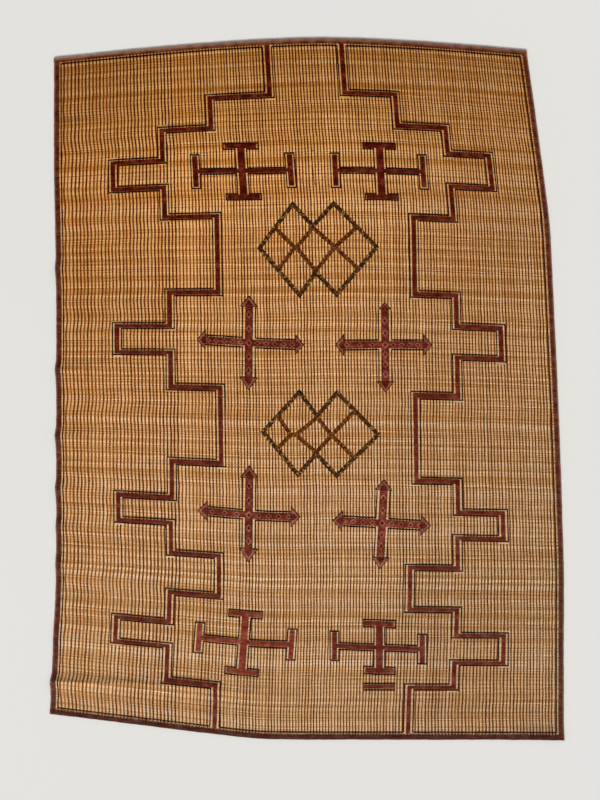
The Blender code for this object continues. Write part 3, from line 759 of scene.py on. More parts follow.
class Shader:
    """A material whose nodes are added by short calls."""

    def __init__(self, name):
        self.material = bpy.data.materials.new(name)
        self.material.use_nodes = True
        self.nodes = self.material.node_tree.nodes
        self.links = self.material.node_tree.links
        self.surface = self.nodes["Principled BSDF"]

    def put(self, socket, value):
        """Set a socket or link it."""
        if isinstance(value, bpy.types.NodeSocket):
            self.links.new(value, socket)
        else:
            socket.default_value = value

    def add(self, kind, values, output=0, **settings):
        """Add a node with its settings and values, and give one of its outputs."""
        node = self.nodes.new("ShaderNode" + kind)
        for key, setting in settings.items():
            setattr(node, key, setting)
        for key, value in values.items():
            self.put(node.inputs[key], value)
        return node.outputs[output]

    def value(self, name):
        """A value that the mesh keeps for each point."""
        return self.add("Attribute", {}, "Fac", attribute_name=name)

    def loom(self):
        """Loom coordinates, as two outputs."""
        place_at = self.add("UVMap", {}, uv_map="loom")
        across = self.add("SeparateXYZ", {0: place_at})
        return across, across.node.outputs[1]

    def math(self, operation, *values, clamp=False):
        """One sum."""
        return self.add("Math", dict(enumerate(values)), operation=operation, use_clamp=clamp)

    def weighed(self, *terms):
        """Sum of values, each times its weight."""
        total, *others = [self.math("MULTIPLY", value, weight) for value, weight in terms]
        for other in others:
            total = self.math("ADD", total, other)
        return total

    def stretched(self, a, b, scale_a, scale_b, detail=2.0, roughness=0.5):
        """Noise in loom coordinates, with its own number of waves per metre each way."""
        scaled = {0: self.math("MULTIPLY", a, scale_a), 1: self.math("MULTIPLY", b, scale_b)}
        place_at = self.add("CombineXYZ", scaled)
        return self.add("TexNoise", {
            "Vector": place_at, "Scale": 1.0, "Detail": detail, "Roughness": roughness})

    def random(self, value):
        """Random value for a whole number."""
        return self.add("TexWhiteNoise", {"W": value}, noise_dimensions="1D")

    def spread(self, value, low, high, to_low=0.0, to_high=1.0):
        """Value taken from one range to another, and kept inside it."""
        return self.add("MapRange", dict(enumerate((value, low, high, to_low, to_high))))

    def mix(self, share, first, second):
        """Mix of two colours."""
        return self.add("Mix", {0: share, 6: first, 7: second}, 2, data_type="RGBA")

    def ramp(self, share, stops, tints):
        """Colour from a ramp with a tint at each stop."""
        tint = self.add("ValToRGB", {0: share})
        elements = tint.node.color_ramp.elements
        while len(elements) < len(stops):
            elements.new(0.5)
        for element, position, value in zip(elements, stops, tints):
            element.position = position
            element.color = colour(*value)
        return tint

    def dyed(self, tone, share, stops, dyes):
        """Colour between a ramp of fresh dyes and one of faded dyes."""
        fresh, faded = [self.ramp(tone, stops, tints) for tints in dyes]
        return self.mix(share, fresh, faded)

    def scaled(self, tint, share):
        """Colour made darker or lighter by a factor."""
        tint = tint if isinstance(tint, bpy.types.NodeSocket) else tint[:3]
        return self.add("VectorMath", {0: tint, "Scale": share}, operation="SCALE")

    def bump(self, height, distance, strength=1.0, normal=None):
        """Bump from a height, on top of another one."""
        values = {"Strength": strength, "Distance": distance, "Height": height}
        if normal:
            values["Normal"] = normal
        return self.add("Bump", values)

    def finish(self, tint, roughness, gloss, normal=None):
        """Hand the results to the surface."""
        self.put(self.surface.inputs["Base Color"], tint)
        self.put(self.surface.inputs["Roughness"], roughness)
        if normal:
            self.put(self.surface.inputs["Normal"], normal)
        self.surface.inputs["Specular IOR Level"].default_value = gloss
        return self.material


def reed_material():
    """Dry split reeds: each has its own tone, with streaks and knots, and painted shade in the valleys
    between them.
    """
    s = Shader("reed_surface")
    a, b = s.loom()
    reed = s.value("reed")
    number = s.math("FLOOR", reed)
    inside = s.math("SUBTRACT", reed, number)
    own = s.random(number)
    streak = s.stretched(a, b, 2.6, 230.0, 3.0, 0.6)
    patch = s.stretched(a, b, 1.3, 22.0, 2.0)
    column = s.stretched(a, b, 75.0, 1.2, 2.0)
    line = s.stretched(a, b, 3.4, 125.0, 1.0, 0.4)
    tone = s.weighed((own, 0.34), (streak, 0.26), (patch, 0.10), (column, 0.36), (line, 0.26))
    tone = s.math("SUBTRACT", tone, 0.165)
    tint = s.dyed(tone, s.value("fade"), REED_STOPS, REED_DYES)
    # Painted shade in the valleys between the reeds, patchy along them
    valley_shade = s.math("ABSOLUTE", s.math("SUBTRACT", inside, 0.5))
    valley_shade_noise = s.stretched(a, b, 3.0, 220.0, 2.0)
    valley_shade = s.math("MULTIPLY", s.spread(valley_shade, 0.30, 0.5), s.spread(valley_shade_noise, 0.30, 0.75, 0.25, 0.85))
    tint = s.mix(valley_shade, tint, colour(*REED_VALLEY_SHADE))
    tint = s.scaled(tint, s.value("shade"))
    fibre = s.stretched(a, b, 40.0, 4200.0, 2.0)
    normal = s.bump(fibre, 0.0004, 0.5)
    return s.finish(tint, s.spread(fibre, 0.3, 0.7, 0.42, 0.62), 0.05, normal)


def thong_material():
    """Thin dark leather thongs, lighter where they are pulled over each third reed."""
    s = Shader("thong_surface")
    a, b = s.loom()
    across = s.value("across")
    own = s.value("tone")
    patch = s.stretched(a, b, 26.0, 5.0, 3.0)
    spots = s.stretched(a, b, 60.0, 330.0, 2.0)
    tone = s.weighed((own, 0.30), (patch, 0.40), (spots, 0.30), (s.value("third"), 0.16))
    tone = s.math("ADD", tone, s.spread(a, -0.95, -0.65, 0.09, -0.04))
    tint = s.dyed(tone, s.value("fade"), THONG_STOPS, THONG_DYES)
    tint = s.scaled(tint, s.value("shade"))
    crown = s.math("SUBTRACT", 1.0, s.math("MULTIPLY", across, across))
    normal = s.bump(crown, 0.0012)
    grain = s.stretched(a, b, 900.0, 900.0, 2.0)
    normal = s.bump(grain, 0.0002, 0.6, normal)
    return s.finish(tint, s.spread(grain, 0.3, 0.7, 0.45, 0.65), 0.02, normal)


def leather_material(name, dyes, fold_highlight=None):
    """Leather with grain, cracks, uneven dye and fading towards the foot.

    The tone of a piece makes it lighter and more faded. A painted highlight, where one is
    given, lightens the outer fold of the mat.
    """
    s = Shader(name)
    a, b = s.loom()
    cloud = s.stretched(a, b, 30.0, 30.0, 3.0, 0.6)
    reeds = s.stretched(a, b, 9.0, 190.0, 2.0)
    dye = s.weighed((cloud, 0.6), (reeds, 0.4))
    rub = s.spread(s.stretched(a, b, 70.0, 70.0, 3.0, 0.7), 0.45, 0.8, 0.0, WORN)
    tone = s.math("SUBTRACT", s.value("tone"), 0.5)
    share = s.math("ADD", s.math("ADD", s.value("fade"), rub), s.math("MULTIPLY", tone, 0.6))
    share = s.math("MULTIPLY", share, 0.9, clamp=True)
    tint = s.dyed(dye, share, LEATHER_STOPS, dyes)
    # Painted highlight along the outer fold, at the sides and the head
    if fold_highlight:
        side = s.spread(s.math("ABSOLUTE", a), HALF_WIDTH - 0.007, HALF_WIDTH + 0.001, 0.0, 0.60)
        head = s.spread(b, HALF_LENGTH - 0.016, HALF_LENGTH + 0.001, 0.0, 1.0)
        head = s.math("MULTIPLY", head, s.spread(a, -0.9, 0.3, 1.0, 0.6))
        edge = s.math("MULTIPLY", s.math("MAXIMUM", side, head), s.spread(cloud, 0.3, 0.6, 0.6, 1.0))
        tint = s.mix(edge, tint, colour(*fold_highlight))
    tint = s.scaled(tint, s.math("ADD", 1.0, s.math("MULTIPLY", tone, 0.9)))
    crack = s.stretched(a, b, 420.0, 420.0, 3.0, 0.6)
    press = s.stretched(a, b, 12.0, 240.0, 1.0)
    normal = s.bump(press, 0.0016, 0.6)
    normal = s.bump(crack, 0.0005, 0.7, normal)
    return s.finish(tint, s.spread(crack, 0.3, 0.7, 0.38, 0.66), 0.04, normal)


def stitched_material(name, stops, tints):
    """Thongs of several colours, one for each stitch."""
    s = Shader(name)
    a, b = s.loom()
    grain = s.stretched(a, b, 500.0, 500.0, 2.0)
    tint = s.ramp(s.value("tone"), stops, tints)
    tint = s.scaled(tint, s.spread(grain, 0.3, 0.7, 0.75, 1.15))
    tint = s.scaled(tint, s.spread(s.value("fade"), 0.25, 0.60, 1.0, 1.18))
    return s.finish(tint, 0.55, 0.06, s.bump(grain, 0.0003, 0.6))


def floor_material():
    """Pale surface, nearly even."""
    s = Shader("floor_surface")
    tone = s.spread(s.add("TexNoise", {"Scale": 3.0}), 0.3, 0.7, 0.97, 1.0)
    return s.finish(s.scaled(colour(*FLOOR_TINT), tone), 0.9, 0.15)


# Reeds and thongs

def reed_lines():
    """Where one reed ends and the next begins, along the mat."""
    rng = np.random.default_rng(11)
    width = 1 + REED_UNEVEN * np.clip(rng.standard_normal(REEDS), -2, 2)
    line = np.concatenate([[0.0], np.cumsum(width)])
    return line / line[-1] * FIELD_LENGTH - HALF_LENGTH


def reed_columns():
    """Columns of facets: close over the ridges at the left edge, wide elsewhere."""
    left = -HALF_WIDTH + np.arange(0, REED_CLOSE_REACH, REED_COLUMN_CLOSE)
    rest = HALF_WIDTH - left[-1]
    count = ceil(rest / REED_COLUMN_WIDE)
    return np.concatenate([left, left[-1] + rest * np.arange(1, count + 1) / count])


def line_at(number, a):
    """Loom b of the line between two reeds, which wanders a little on its way."""
    lines = reed_lines()
    phase = np.random.default_rng(5).uniform(0, 2 * pi, REEDS + 1)
    wave = np.random.default_rng(6).uniform(3, 9, REEDS + 1)
    low = np.clip(np.floor(number).astype(int), 0, REEDS)
    ends = []
    for line in (low, np.minimum(low + 1, REEDS)):
        inner = np.where((line > 0) & (line < REEDS), REED_WANDER, 0.0)
        ends.append(lines[line] + inner * np.sin(a * wave[line] + phase[line]))
    return ends[0] + (ends[1] - ends[0]) * (number - low)


def make_reeds(material):
    """All the reeds, side by side, as one closed piece."""
    columns = reed_columns()
    rng = np.random.default_rng(9)
    own = rng.uniform(-0.0003, 0.0002, REEDS)
    top = [(j + f, h) for j in range(REEDS) for f, h in (
        (0.0, REED_VALLEY), (0.22, REED_SHOULDER + own[j]), (0.5, REED_TOP + own[j]),
        (0.78, REED_SHOULDER + own[j]))] + [(float(REEDS), REED_VALLEY)]
    low = [(j + f, h) for j in range(REEDS) for f, h in ((0.0, REED_LOW_VALLEY), (0.5, REED_BOTTOM))]
    low.append((float(REEDS), REED_LOW_VALLEY))
    rows = top + low
    number = np.array([n for n, h in rows])[:, None] + 0 * columns[None, :]
    height = np.array([h for n, h in rows])[:, None] + 0 * columns[None, :]
    a = 0 * number + columns[None, :]
    b = line_at(number, a)
    wide = len(columns)
    base = len(top) * wide
    faces = grid_faces(len(top), wide) + grid_faces(len(low), wide, base, up=False)
    for j in (0, wide - 1):
        for i in range(len(low) - 1):
            ring = [base + i * wide + j, base + (i + 1) * wide + j]
            ring += [(2 * i + k) * wide + j for k in (2, 1, 0)]
            faces.append(ring)
    for i_top, i_low in ((0, 0), (len(top) - 1, len(low) - 1)):
        for j in range(wide - 1):
            up = i_top * wide + j
            down = base + i_low * wide + j
            faces.append([up, up + 1, down + 1, down])
    return piece("reeds", a, b, height, faces, material, "reeds", ("reed_field",), reed=number)


def thong_places():
    """Loom a of each thong: wider apart in the left part."""
    places = []
    a = FIRST_THONG - HALF_WIDTH
    while a < HALF_WIDTH - BINDING_WIDTH * 0.3:
        change = smooth_step((a - THONG_CHANGE_FROM) / (THONG_CHANGE_TO - THONG_CHANGE_FROM))
        rest = THONG_PITCH_RIGHT if a > THONG_CHANGE_RIGHT else THONG_PITCH_MIDDLE
        pitch = THONG_PITCH_LEFT + (rest - THONG_PITCH_LEFT) * float(change)
        places.append((a, pitch))
        a += pitch
    return places


def under_leather(a, b):
    """Whether an upright strip, or the bare reed beside it, takes the place of a thong."""
    covered = np.abs(a) > HALF_WIDTH - BESIDE_BINDING
    for runs in (BAND_LEFT, BAND_RIGHT):
        start = HALF_LENGTH
        for run in runs:
            within = (b < start + BAND_LACE) & (b > run.ends_at - BAND_LACE)
            covered |= within & (np.abs(a - run.across) < BAND_LACE)
            start = run.ends_at
    for name, cross in TEES.items():
        tee = TEE_LACES[name]
        across, along = within_cross(cross, a, b)
        covered |= (np.abs(across) < tee.arm_along / 2) & (along < cross.up) & (along > -cross.down)
        for middle in (-cross.left, cross.right):
            covered |= (np.abs(across - middle) < tee.side_bar / 2) & (np.abs(along) < tee.side_half)
    for name, cross in ARROWS.items():
        heads = ARROW_HEADS[name]
        across, along = within_cross(cross, a, b)
        within = (along < cross.up - heads.up_long) & (along > heads.down_long - cross.down)
        covered |= within & (np.abs(across) < ARROW_LACE_ALONG)
    return covered


def stretches(hidden):
    """First and last row of each stretch of a thong that shows."""
    edges = np.flatnonzero(np.diff(np.concatenate([[1], hidden.astype(int), [1]])))
    return [(start, end) for start, end in zip(edges[::2], edges[1::2]) if end - start > 1]


def make_thongs(material):
    """Thongs that hold the reeds down, pulled tight over each third one, in two pieces."""
    places = thong_places()
    middle = len(places) // 2
    offsets = np.array([0.0, 0.5, 1.5, 2.0, 2.5])
    heights = np.array([THONG_TURN, THONG_OVER, THONG_OVER, THONG_TURN, THONG_THIRD])
    widths = np.array([0.95, 1.0, 1.0, 0.95, THONG_THIRD_WIDTH])
    thirds = np.array([0.15, 0.0, 0.0, 0.15, 1.0])
    rng = np.random.default_rng(21)
    made = []
    phase = 0
    for part, chosen in (("left", places[:middle]), ("right", places[middle:])):
        arrays = [[], [], [], [], [], []]
        faces = []
        count = 0
        for a0, pitch in chosen:
            if rng.uniform() < THONG_SLIPS:
                phase = (phase + rng.integers(1, 3)) % 3
            first = np.arange(-phase, REEDS, 3)
            number = (first[:, None] + offsets[None, :]).ravel()
            height = np.tile(heights, len(first)) + rng.uniform(-0.00012, 0.00012, len(number))
            keep = (number >= 0) & (number <= REEDS)
            number, height = number[keep], height[keep]
            narrow = np.tile(widths, len(first))[keep]
            third = np.tile(thirds, len(first))[keep]
            b = line_at(number, np.full(len(number), a0))
            seed = int(rng.integers(1, 10000))
            centre = a0 + THONG_WANDER * wobble(b, seed, 0.05, 0.8) + rng.uniform(-0.0005, 0.0005)
            inwards = smooth_step((a0 - SWAY_FROM) / SWAY_OVER)
            sway = THONG_SWAY + (SIDE_SWAY - THONG_SWAY) * (1 - inwards)
            centre = centre + sway * wobble(b, 77, 0.12, 0.5)
            uneven = 1 + 0.12 * wobble(b, seed + 1, 0.02, 0.3) + rng.uniform(-0.1, 0.1)
            half = THONG_SHARE * pitch / 2 * narrow * uneven
            rows = (np.stack([centre - half, centre + half], -1), np.stack([b, b], -1),
                    np.stack([height, height], -1), np.tile([-1.0, 1.0], (len(b), 1)),
                    np.full((len(b), 2), rng.uniform()), np.stack([third, third], -1))
            for start, end in stretches(under_leather(centre, b)):
                for values, value in zip(arrays, rows):
                    values.append(value[start:end].ravel())
                faces += grid_faces(end - start, 2, count)
                count += 2 * (end - start)
        a, b, height, across, tone, third = [np.concatenate(values) for values in arrays]
        made.append(piece("thongs_" + part, a, b, height, faces, material, "brown_thong",
                          recalc=False, across=across, tone=tone, third=third))
    return made


# Bands, crosses and lattices

def band_half(b):
    """Half the width of the upright runs of a band, which is less towards the foot."""
    start, end = BAND_NARROWS
    share = float(smooth_step((b - end) / (start - end)))
    return (BAND_WIDTH_FOOT + (BAND_WIDTH_HEAD - BAND_WIDTH_FOOT) * share) / 2


def band_side(runs, side, half, above, below, end):
    """One side of a stepped band or of its laces, from the head down.

    half gives the distance from the middle of the upright runs, for a loom b.
    """
    points = [(runs[0].across + side * half(end), end)]
    for run, following in zip(runs, runs[1:]):
        turn = side if following.across > run.across else -side
        level = run.ends_at + turn * (run.width / 2 + (above if turn > 0 else below))
        points.append((run.across + side * half(level), level))
        points.append((following.across + side * half(level), level))
    points.append((runs[-1].across + side * half(-end), -end))
    return points


def make_band(name, runs, red, black):
    """Stepped red strip, and a dark lace along each side of it."""
    end = HALF_LENGTH - BINDING_WIDTH - GAP
    strip = Parts()
    sides = [band_side(runs, side, band_half, 0.0, 0.0, end) for side in (1, -1)]
    section = rounded(LEATHER_LOW, LEATHER_TOP)
    ribbon(strip, *sides, section, step=0.01, uneven=0.0007, seed=len(name))
    made = [strip.make(name + "_strip", red, "red_leather", (name,))]
    laces = Parts()
    end = HALF_LENGTH - BESIDE_BINDING
    for side in (1, -1):
        line = band_side(runs, side, lambda b: BAND_LACE, LACE_ABOVE, LACE_BELOW, end)
        lace(laces, line, seed=7 + side)
    made.append(laces.make(name + "_laces", black, "dark_thong"))
    return made


def cross_at(cross, across, along):
    """Loom point at a distance from the middle of a cross, with its lean and tilt."""
    return (cross.a + across + cross.lean * along, cross.b + along + cross.tilt * across)


def within_cross(cross, a, b):
    """Distances across and along from the middle of a cross to a loom point."""
    along = (b - cross.b - cross.tilt * (a - cross.a)) / (1 - cross.lean * cross.tilt)
    return a - cross.a - cross.lean * along, along


def tee_outline(cross, tee):
    """Cross with a bar across the end of each arm."""
    points = []
    for sign_a, sign_b in QUARTERS:
        side = cross.right if sign_a > 0 else cross.left
        end = cross.up if sign_b > 0 else cross.down
        corner = (
            (side + tee.side_bar / 2, tee.side_half),
            (side - tee.side_bar / 2, tee.side_half),
            (side - tee.side_bar / 2, tee.arm_across / 2),
            (tee.arm_along / 2, tee.arm_across / 2),
            (tee.arm_along / 2, end - tee.end_bar / 2),
            (tee.end_half, end - tee.end_bar / 2),
            (tee.end_half, end + tee.end_bar / 2),
        )
        corner = [cross_at(cross, sign_a * across, sign_b * along) for across, along in corner]
        points += corner if sign_a * sign_b > 0 else corner[::-1]
    return points


def make_tee(name, cross, red, black):
    """T-ended cross with a lace round it."""
    tee = TEE_SIZES[name]
    body = Parts(LEATHER_TONES.get(name, 0.5))
    bars = (
        ((-cross.left, 0.0), (cross.right, 0.0), tee.arm_across, 0.0),
        ((0.0, -cross.down), (0.0, cross.up), tee.arm_along, LEATHER_STEP),
        ((-cross.left, -tee.side_half), (-cross.left, tee.side_half), tee.side_bar, 2 * LEATHER_STEP),
        ((cross.right, -tee.side_half), (cross.right, tee.side_half), tee.side_bar, 2 * LEATHER_STEP),
        ((-tee.end_half, cross.up), (tee.end_half, cross.up), tee.end_bar, 2 * LEATHER_STEP),
        ((-tee.end_half, -cross.down), (tee.end_half, -cross.down), tee.end_bar, 2 * LEATHER_STEP),
    )
    for start, end, width, rise in bars:
        bar(body, cross_at(cross, *start), cross_at(cross, *end), width, LEATHER_TOP + rise)
    made = [body.make(name + "_leather", red, "red_leather", (name,))]
    laces = Parts()
    lace(laces, tee_outline(cross, TEE_LACES[name]), closed=True)
    made.append(laces.make(name + "_lace", black, "dark_thong"))
    return made


Layer = namedtuple("Layer", "black pink red dots")


def turned(cross, arm, across, along):
    """Loom point on an arm: along runs out from the middle, across to its left."""
    ways = {"up": (0, 1), "down": (0, -1), "left": (-1, 0), "right": (1, 0)}
    dx, dy = ways[arm]
    return cross_at(cross, dx * along - dy * across, dy * along + dx * across)


def diamond(layers, cross, arm, along, half_across, half_along):
    """Faded ring of a diamond with a dark dot in it."""
    def corners(share_across, share_along):
        return [turned(cross, arm, s * half_across * share_across, along + t * half_along * share_along)
                for s, t in ((1, 0), (0, 1), (-1, 0), (0, -1))]

    section = rounded(LEATHER_TOP - 0.0002, LEATHER_TOP + 0.0003)
    ribbon(layers.pink, corners(1, 1), corners(RING_HOLE, RING_HOLE), section, closed=True, step=0.01,
           tone=RING_TONE)
    dot = corners(DOT_ACROSS, DOT_ALONG)
    if Vector(dot[1]).to_3d().cross(Vector(dot[0]).to_3d()).z > 0:
        dot = dot[::-1]
    plate(layers.dots, dot, LEATHER_TOP - 0.0002, LEATHER_TOP + 0.0004, soft=0.0006, tone=DOT_TONE)


def arrow_head(layers, cross, arm, reach, half, long, arm_half):
    """Dark triangle, a faded chevron on it, and the red core that the arm ends in."""
    def outline(points):
        return [turned(cross, arm, across, reach - back) for across, back in points][::-1]

    lean = hypot(half, long)
    side = HEAD_RIM * lean / long
    tip = HEAD_RIM * lean / half
    triangle = [(half, long), (-half, long), (0.0, 0.0)]
    plate(layers.black, outline(triangle), LEATHER_LOW, LEATHER_TOP - 0.0003)
    barb = half - side - HEAD_RIM * half / long
    chevron = [(barb, long - HEAD_RIM), (-barb, long - HEAD_RIM), (0.0, tip)]
    plate(layers.pink, outline(chevron), LEATHER_LOW, LEATHER_TOP, tone=CHEVRON_TONE)
    start = long * CORE_FROM
    core_half = min(arm_half - DARK_EDGE, barb * CORE_SHARE)
    shoulder = start + core_half * long / half
    core = [(core_half, long + 0.002), (-core_half, long + 0.002), (-core_half, shoulder),
            (0.0, start), (core_half, shoulder)]
    plate(layers.red, outline(core), LEATHER_LOW, LEATHER_TOP + 0.0003, tone=CORE_TONE)


def make_arrow(name, cross, materials):
    """Arrow cross: red arms with faded diamonds, four heads, and laces along the arms."""
    red, pink, black = materials
    heads = ARROW_HEADS[name]
    layers = Layer(Parts(), Parts(), Parts(LEATHER_TONES.get(name, 0.5)), Parts())
    up = cross.up - heads.up_long
    down = cross.down - heads.down_long
    left = cross.left - heads.side_long
    right = cross.right - heads.side_long
    across = [cross_at(cross, -left, 0.0), cross_at(cross, right, 0.0)]
    upright = [cross_at(cross, 0.0, -down), cross_at(cross, 0.0, up)]
    bar(layers.black, *upright, ARROW_ARM_ALONG, LEATHER_TOP - 2 * LEATHER_STEP)
    bar(layers.red, *across, ARROW_ARM_ACROSS - DARK_EDGE, LEATHER_TOP)
    bar(layers.red, *upright, ARROW_ARM_ALONG - 2 * DARK_EDGE, LEATHER_TOP + LEATHER_STEP)
    for arm, step in zip(Steps._fields, DIAMOND_STEPS[name]):
        head, width, size = ("side", ARROW_ARM_ACROSS, DIAMOND_SIDEWAYS)
        if arm in ("up", "down"):
            head, width, size = (arm, ARROW_ARM_ALONG, DIAMOND_UPRIGHT)
        reach = getattr(cross, arm)
        long = getattr(heads, head + "_long")
        arrow_head(layers, cross, arm, reach, getattr(heads, head), long, width / 2)
        along = step
        while along + size[1] < reach - long * DIAMONDS_STOP:
            diamond(layers, cross, arm, along, *size)
            along += step
    diamond(layers, cross, "up", 0.0, *DIAMOND_MIDDLE)
    made = [layers.red.make(name + "_leather", red, "red_leather", (name,)),
            layers.pink.make(name + "_faded", pink, "red_leather"),
            layers.black.make(name + "_heads", black, "dark_thong"),
            layers.dots.make(name + "_dots", black, "dark_thong")]
    laces = Parts()
    for sign_a, reach_a in ((1, right), (-1, left)):
        for sign_b, reach_b in ((1, up), (-1, down)):
            line = [(sign_a * ARROW_LACE_ALONG, sign_b * (reach_b - 0.002)),
                    (sign_a * ARROW_LACE_ALONG, sign_b * ARROW_LACE_ACROSS),
                    (sign_a * (reach_a - 0.002), sign_b * ARROW_LACE_ACROSS)]
            lace(laces, [cross_at(cross, *point) for point in line])
    made.append(laces.make(name + "_laces", black, "dark_thong"))
    return made


def lattice_points(lattice):
    """Corners of the rim and of the inner bars, on their middle lines."""
    def at(across, along):
        return (lattice.a + across, lattice.b + along + lattice.tilt * across)

    left_tip = at(-lattice.half_wide, 0.0)
    right_tip = at(lattice.half_wide, 0.0)
    upper_left = at(-lattice.up_shift - lattice.half_up, lattice.up)
    upper_right = at(-lattice.up_shift + lattice.half_up, lattice.up)
    lower_left = at(-lattice.down_shift - lattice.half_down, -lattice.down)
    lower_right = at(-lattice.down_shift + lattice.half_down, -lattice.down)
    notch_up = at(-lattice.notch_up_shift, lattice.notch_up)
    notch_down = at(-lattice.notch_down_shift, -lattice.notch_down)
    rim = [left_tip, lower_left, notch_down, lower_right, right_tip, upper_right, notch_up, upper_left]
    meet_up = (notch_up[0], notch_up[1] - BAR_MEETING)
    meet_down = (notch_down[0], notch_down[1] + BAR_MEETING)
    left_outer = at(lattice.left_crossing - lattice.waist, -lattice.crossing_drop)
    left_inner = at(lattice.left_crossing + lattice.waist, -lattice.crossing_drop)
    right = at(lattice.right_crossing, -lattice.crossing_drop)
    bars = [
        [meet_up, left_inner, meet_down],
        [between(left_tip, upper_left, lattice.left_joint), left_outer,
         between(left_tip, lower_left, lattice.left_joint)],
        [left_outer, between(left_outer, left_inner, 0.5), left_inner],
        [meet_up, right, between(right_tip, lower_right, lattice.right_joint)],
        [between(right_tip, upper_right, lattice.right_joint), right, meet_down],
    ]
    return rim, bars


def plaited(parts, points, width, rng, pitch, base_tone, tones):
    """Plait along a line: a flat core, and slanted stitches that cross it both ways."""
    line = np.array(points, float)
    for start, end in zip(line, line[1:]):
        run = end - start
        length = hypot(*run)
        way = run / length
        side = np.array([-way[1], way[0]])
        for row in (-1, 1):
            first = 0.0 if row > 0 else pitch / 2
            for i in range(int(length / pitch) + 1):
                at = start + way * (i * pitch + rng.uniform(-0.0006, 0.0006) + first)
                at = at + side * row * width * PLAIT_ASIDE
                slant = row * PLAIT_SLANT + rng.uniform(-0.14, 0.14)
                direction = side * cos(slant) + way * sin(slant)
                long = width * PLAIT_LONG * (1 + rng.uniform(-0.12, 0.25))
                tone = float(np.clip(rng.choice(tones) + rng.uniform(-0.05, 0.05), 0, 1))
                top = PLAIT_TOP + rng.uniform(-0.0002, 0.0003)
                stitch(parts, at, direction, long, pitch * 1.05, PLAIT_LOW, top, tone)
    closed = points[0] == points[-1]
    core = list(points[:-1]) if closed else list(points)
    move = offset_ring if closed else offset_line
    sides = [move(core, side * width * 0.5) for side in (1, -1)]
    ribbon(parts, *sides, rounded(0.0046, 0.0054), closed, tone=base_tone)


def make_lattice(name, lattice, dark, brown):
    """A dark plaited rim and brown plaited bars."""
    rng = np.random.default_rng(31)
    rim_line, bar_lines = lattice_points(lattice)
    rim = Parts()
    plaited(rim, rim_line + rim_line[:1], LATTICE_RIM, rng, RIM_PITCH, 0.05, DARK_TONES)
    made = [rim.make(name + "_rim_plait", dark, "dark_thong", (name + "_rim",))]
    bars = Parts()
    for points in bar_lines:
        plaited(bars, points, LATTICE_BAR, rng, BAR_PITCH, 0.02, BROWN_TONES)
    made.append(bars.make(name + "_bars_plait", brown, "brown_thong", (name + "_bars",)))
    return made


def make_bindings(leather, pale):
    """Leather folded over the four edges, with stitches along its inner edge."""
    out_a = HALF_WIDTH + GAP + LEATHER
    out_b = HALF_LENGTH + GAP + LEATHER
    in_a = HALF_WIDTH - BINDING_WIDTH
    in_b = HALF_LENGTH - BINDING_WIDTH
    wall = LEATHER / (out_a - in_a) * 1.5
    section = (
        (1.0, 0.0052), (1.0, 0.0060), (0.92, 0.0065), (0.30, 0.0064), (0.10, 0.0060),
        (0.02, 0.0048), (0.0, 0.0025), (0.02, 0.0), (0.10, -0.0012), (0.5, -0.0015),
        (1.0, -0.0015), (1.0, -0.0004), (wall, -0.0003), (wall, 0.0053))
    lines = {
        "binding_left": ([(-out_a, -in_b), (-out_a, in_b)], [(-in_a, -in_b), (-in_a, in_b)]),
        "binding_right": ([(out_a, -in_b), (out_a, in_b)], [(in_a, -in_b), (in_a, in_b)]),
        "binding_head": ([(-out_a, out_b), (out_a, out_b)], [(-out_a, in_b), (out_a, in_b)]),
        "binding_foot": ([(-out_a, -out_b), (out_a, -out_b)], [(-out_a, -in_b), (out_a, -in_b)]),
    }
    made = []
    for number, (name, sides) in enumerate(lines.items()):
        parts = Parts(LEATHER_TONES.get(name, 0.5))
        ribbon(parts, *sides, section, step=0.012, uneven=0.0007, seed=40 + 3 * number)
        made.append(parts.make(name + "_leather", leather, "binding_leather", (name,)))
    rng = np.random.default_rng(51)
    rows = Parts()
    for b in np.arange(-in_b + STITCH_FROM, in_b, STITCH_PITCH):
        tone = float(rng.uniform(*STITCH_TONES))
        middle = (in_a - 0.0010 + rng.uniform(-0.0004, 0.0004), b)
        stitch(rows, middle, (1.0, 0.0), 0.0060, 0.0022, 0.0050, 0.0072, tone)
    for a in np.arange(-in_a + STITCH_FROM, in_a, STITCH_PITCH):
        tone = float(rng.uniform(*STITCH_TONES))
        middle = (a, -in_b + 0.0015 + rng.uniform(-0.0004, 0.0004))
        stitch(rows, middle, (0.0, 1.0), 0.0090, 0.0030, 0.0050, 0.0074, tone)
    made.append(rows.make("edge_stitches", pale, "brown_thong"))
    return made


def make_edge_laces(black):
    """Laces that run beside the bindings, and the lone bracket near the head.

    At the head and the foot they stop where the laces of a band turn off.
    """
    laces = Parts()
    beside_a = HALF_WIDTH - BESIDE_BINDING
    beside_b = HALF_LENGTH - BESIDE_BINDING
    lace(laces, [(-beside_a, -beside_b), (-beside_a, beside_b)])
    lace(laces, [(beside_a, -beside_b), (beside_a, beside_b)])
    for side, run in ((1, 0), (-1, -1)):
        stops = [-beside_a]
        for runs in (BAND_LEFT, BAND_RIGHT):
            stops += [runs[run].across - BAND_LACE, runs[run].across + BAND_LACE]
        stops.append(beside_a)
        for start, end in zip(stops[::2], stops[1::2]):
            lace(laces, [(start, side * beside_b), (end, side * beside_b)])
    lace(laces, BRACKET, width=0.0024, top=0.0058)
    return [laces.make("edge_laces", black, "dark_thong")]


def make_dash(red, black):
    """Short red dash with a lace above and below it."""
    a, b = DASH_AT
    half = DASH_WIDTH / 2
    ring = [(a - DASH_HALF, b - half), (a + DASH_HALF, b - half)]
    ring += [(a + DASH_HALF, b + half), (a - DASH_HALF, b + half)]
    body = Parts()
    plate(body, ring, LEATHER_LOW, LEATHER_TOP)
    made = [body.make("dash_foot_right_leather", red, "red_leather", ("dash_foot_right",))]
    laces = Parts()
    for level in (b - half - DASH_LACE_AWAY, b + half + DASH_LACE_AWAY):
        lace(laces, [(a - DASH_HALF, level), (a + DASH_HALF, level)])
    made.append(laces.make("dash_foot_right_lace", black, "dark_thong"))
    return made


# Stage

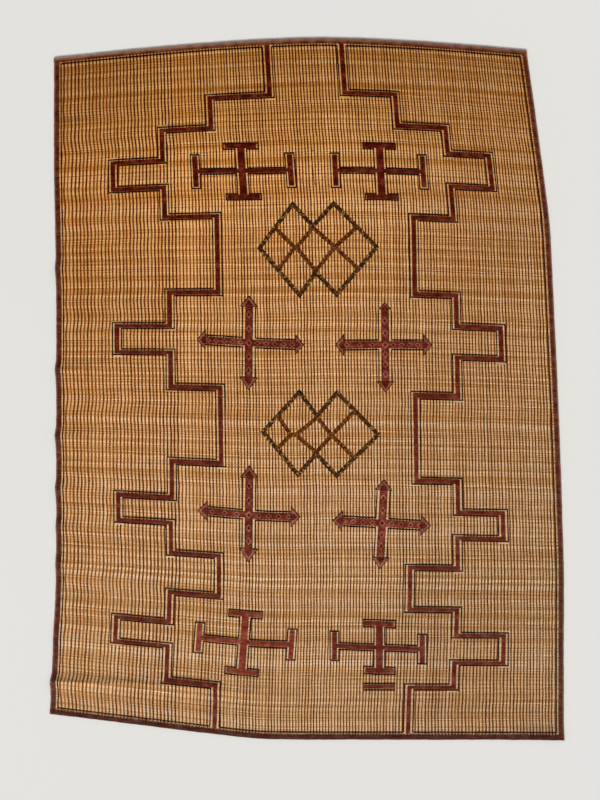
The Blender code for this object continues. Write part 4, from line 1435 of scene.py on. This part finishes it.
def make_stage():
    """Pale floor, soft light that comes from the foot side, and the camera above."""
    mesh = bpy.data.meshes.new("floor")
    corners = [(x * FLOOR_HALF, y * FLOOR_HALF, 0) for x, y in ((-1, -1), (1, -1), (1, 1), (-1, 1))]
    mesh.from_pydata(corners, [], [(0, 1, 2, 3)])
    mesh.materials.append(floor_material())
    floor = new_object("floor", mesh)
    sun = bpy.data.lights.new("key", "SUN")
    sun.energy = SUN_STRENGTH
    sun.angle = SUN_ANGLE
    sun.color = SUN_TINT
    key = new_object("key", sun)
    key.rotation_euler = Vector(SUN_WAY).to_track_quat("-Z", "Y").to_euler()
    world = bpy.data.worlds.new("studio")
    world.use_nodes = True
    sky = world.node_tree.nodes["Background"]
    sky.inputs[0].default_value = SKY_TINT
    sky.inputs[1].default_value = SKY_STRENGTH
    bpy.context.scene.world = world
    camera = bpy.data.cameras.new("camera")
    camera.sensor_width = SENSOR
    camera.lens = SENSOR * CAMERA_HEIGHT / FRAME_LONG_SIDE
    camera.clip_end = 50.0
    eye = new_object("camera", camera)
    eye.location = (*CAMERA_AT, CAMERA_HEIGHT)
    bpy.context.scene.camera = eye
    bpy.context.scene.view_settings.view_transform = "Standard"
    return floor


def main():
    """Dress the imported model."""
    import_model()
    red = leather_material("red_leather_surface", RED_DYES)
    edge = leather_material("binding_surface", BINDING_DYES, PAINTED_FOLD_HIGHLIGHT)
    black = leather_material("lace_surface", LACE_DYES)
    pink = leather_material("faded_surface", FADED_DYES)
    pale = stitched_material("stitch_surface", *STITCHES)
    dark_plait = stitched_material("dark_plait_surface", *DARK_PLAIT)
    brown_plait = stitched_material("brown_plait_surface", *BROWN_PLAIT)
    floor = make_stage()
    reeds = make_reeds(reed_material())
    goes_with = make_thongs(thong_material())
    goes_with += make_bindings(edge, pale)
    goes_with += make_edge_laces(black)
    goes_with += make_band("band_left", BAND_LEFT, red, black)
    goes_with += make_band("band_right", BAND_RIGHT, red, black)
    for name, cross in TEES.items():
        goes_with += make_tee(name, cross, red, black)
    for name, cross in ARROWS.items():
        goes_with += make_arrow(name, cross, (red, pink, black))
    for name, lattice in LATTICES.items():
        goes_with += make_lattice(name, lattice, dark_plait, brown_plait)
    goes_with += make_dash(red, black)


main()
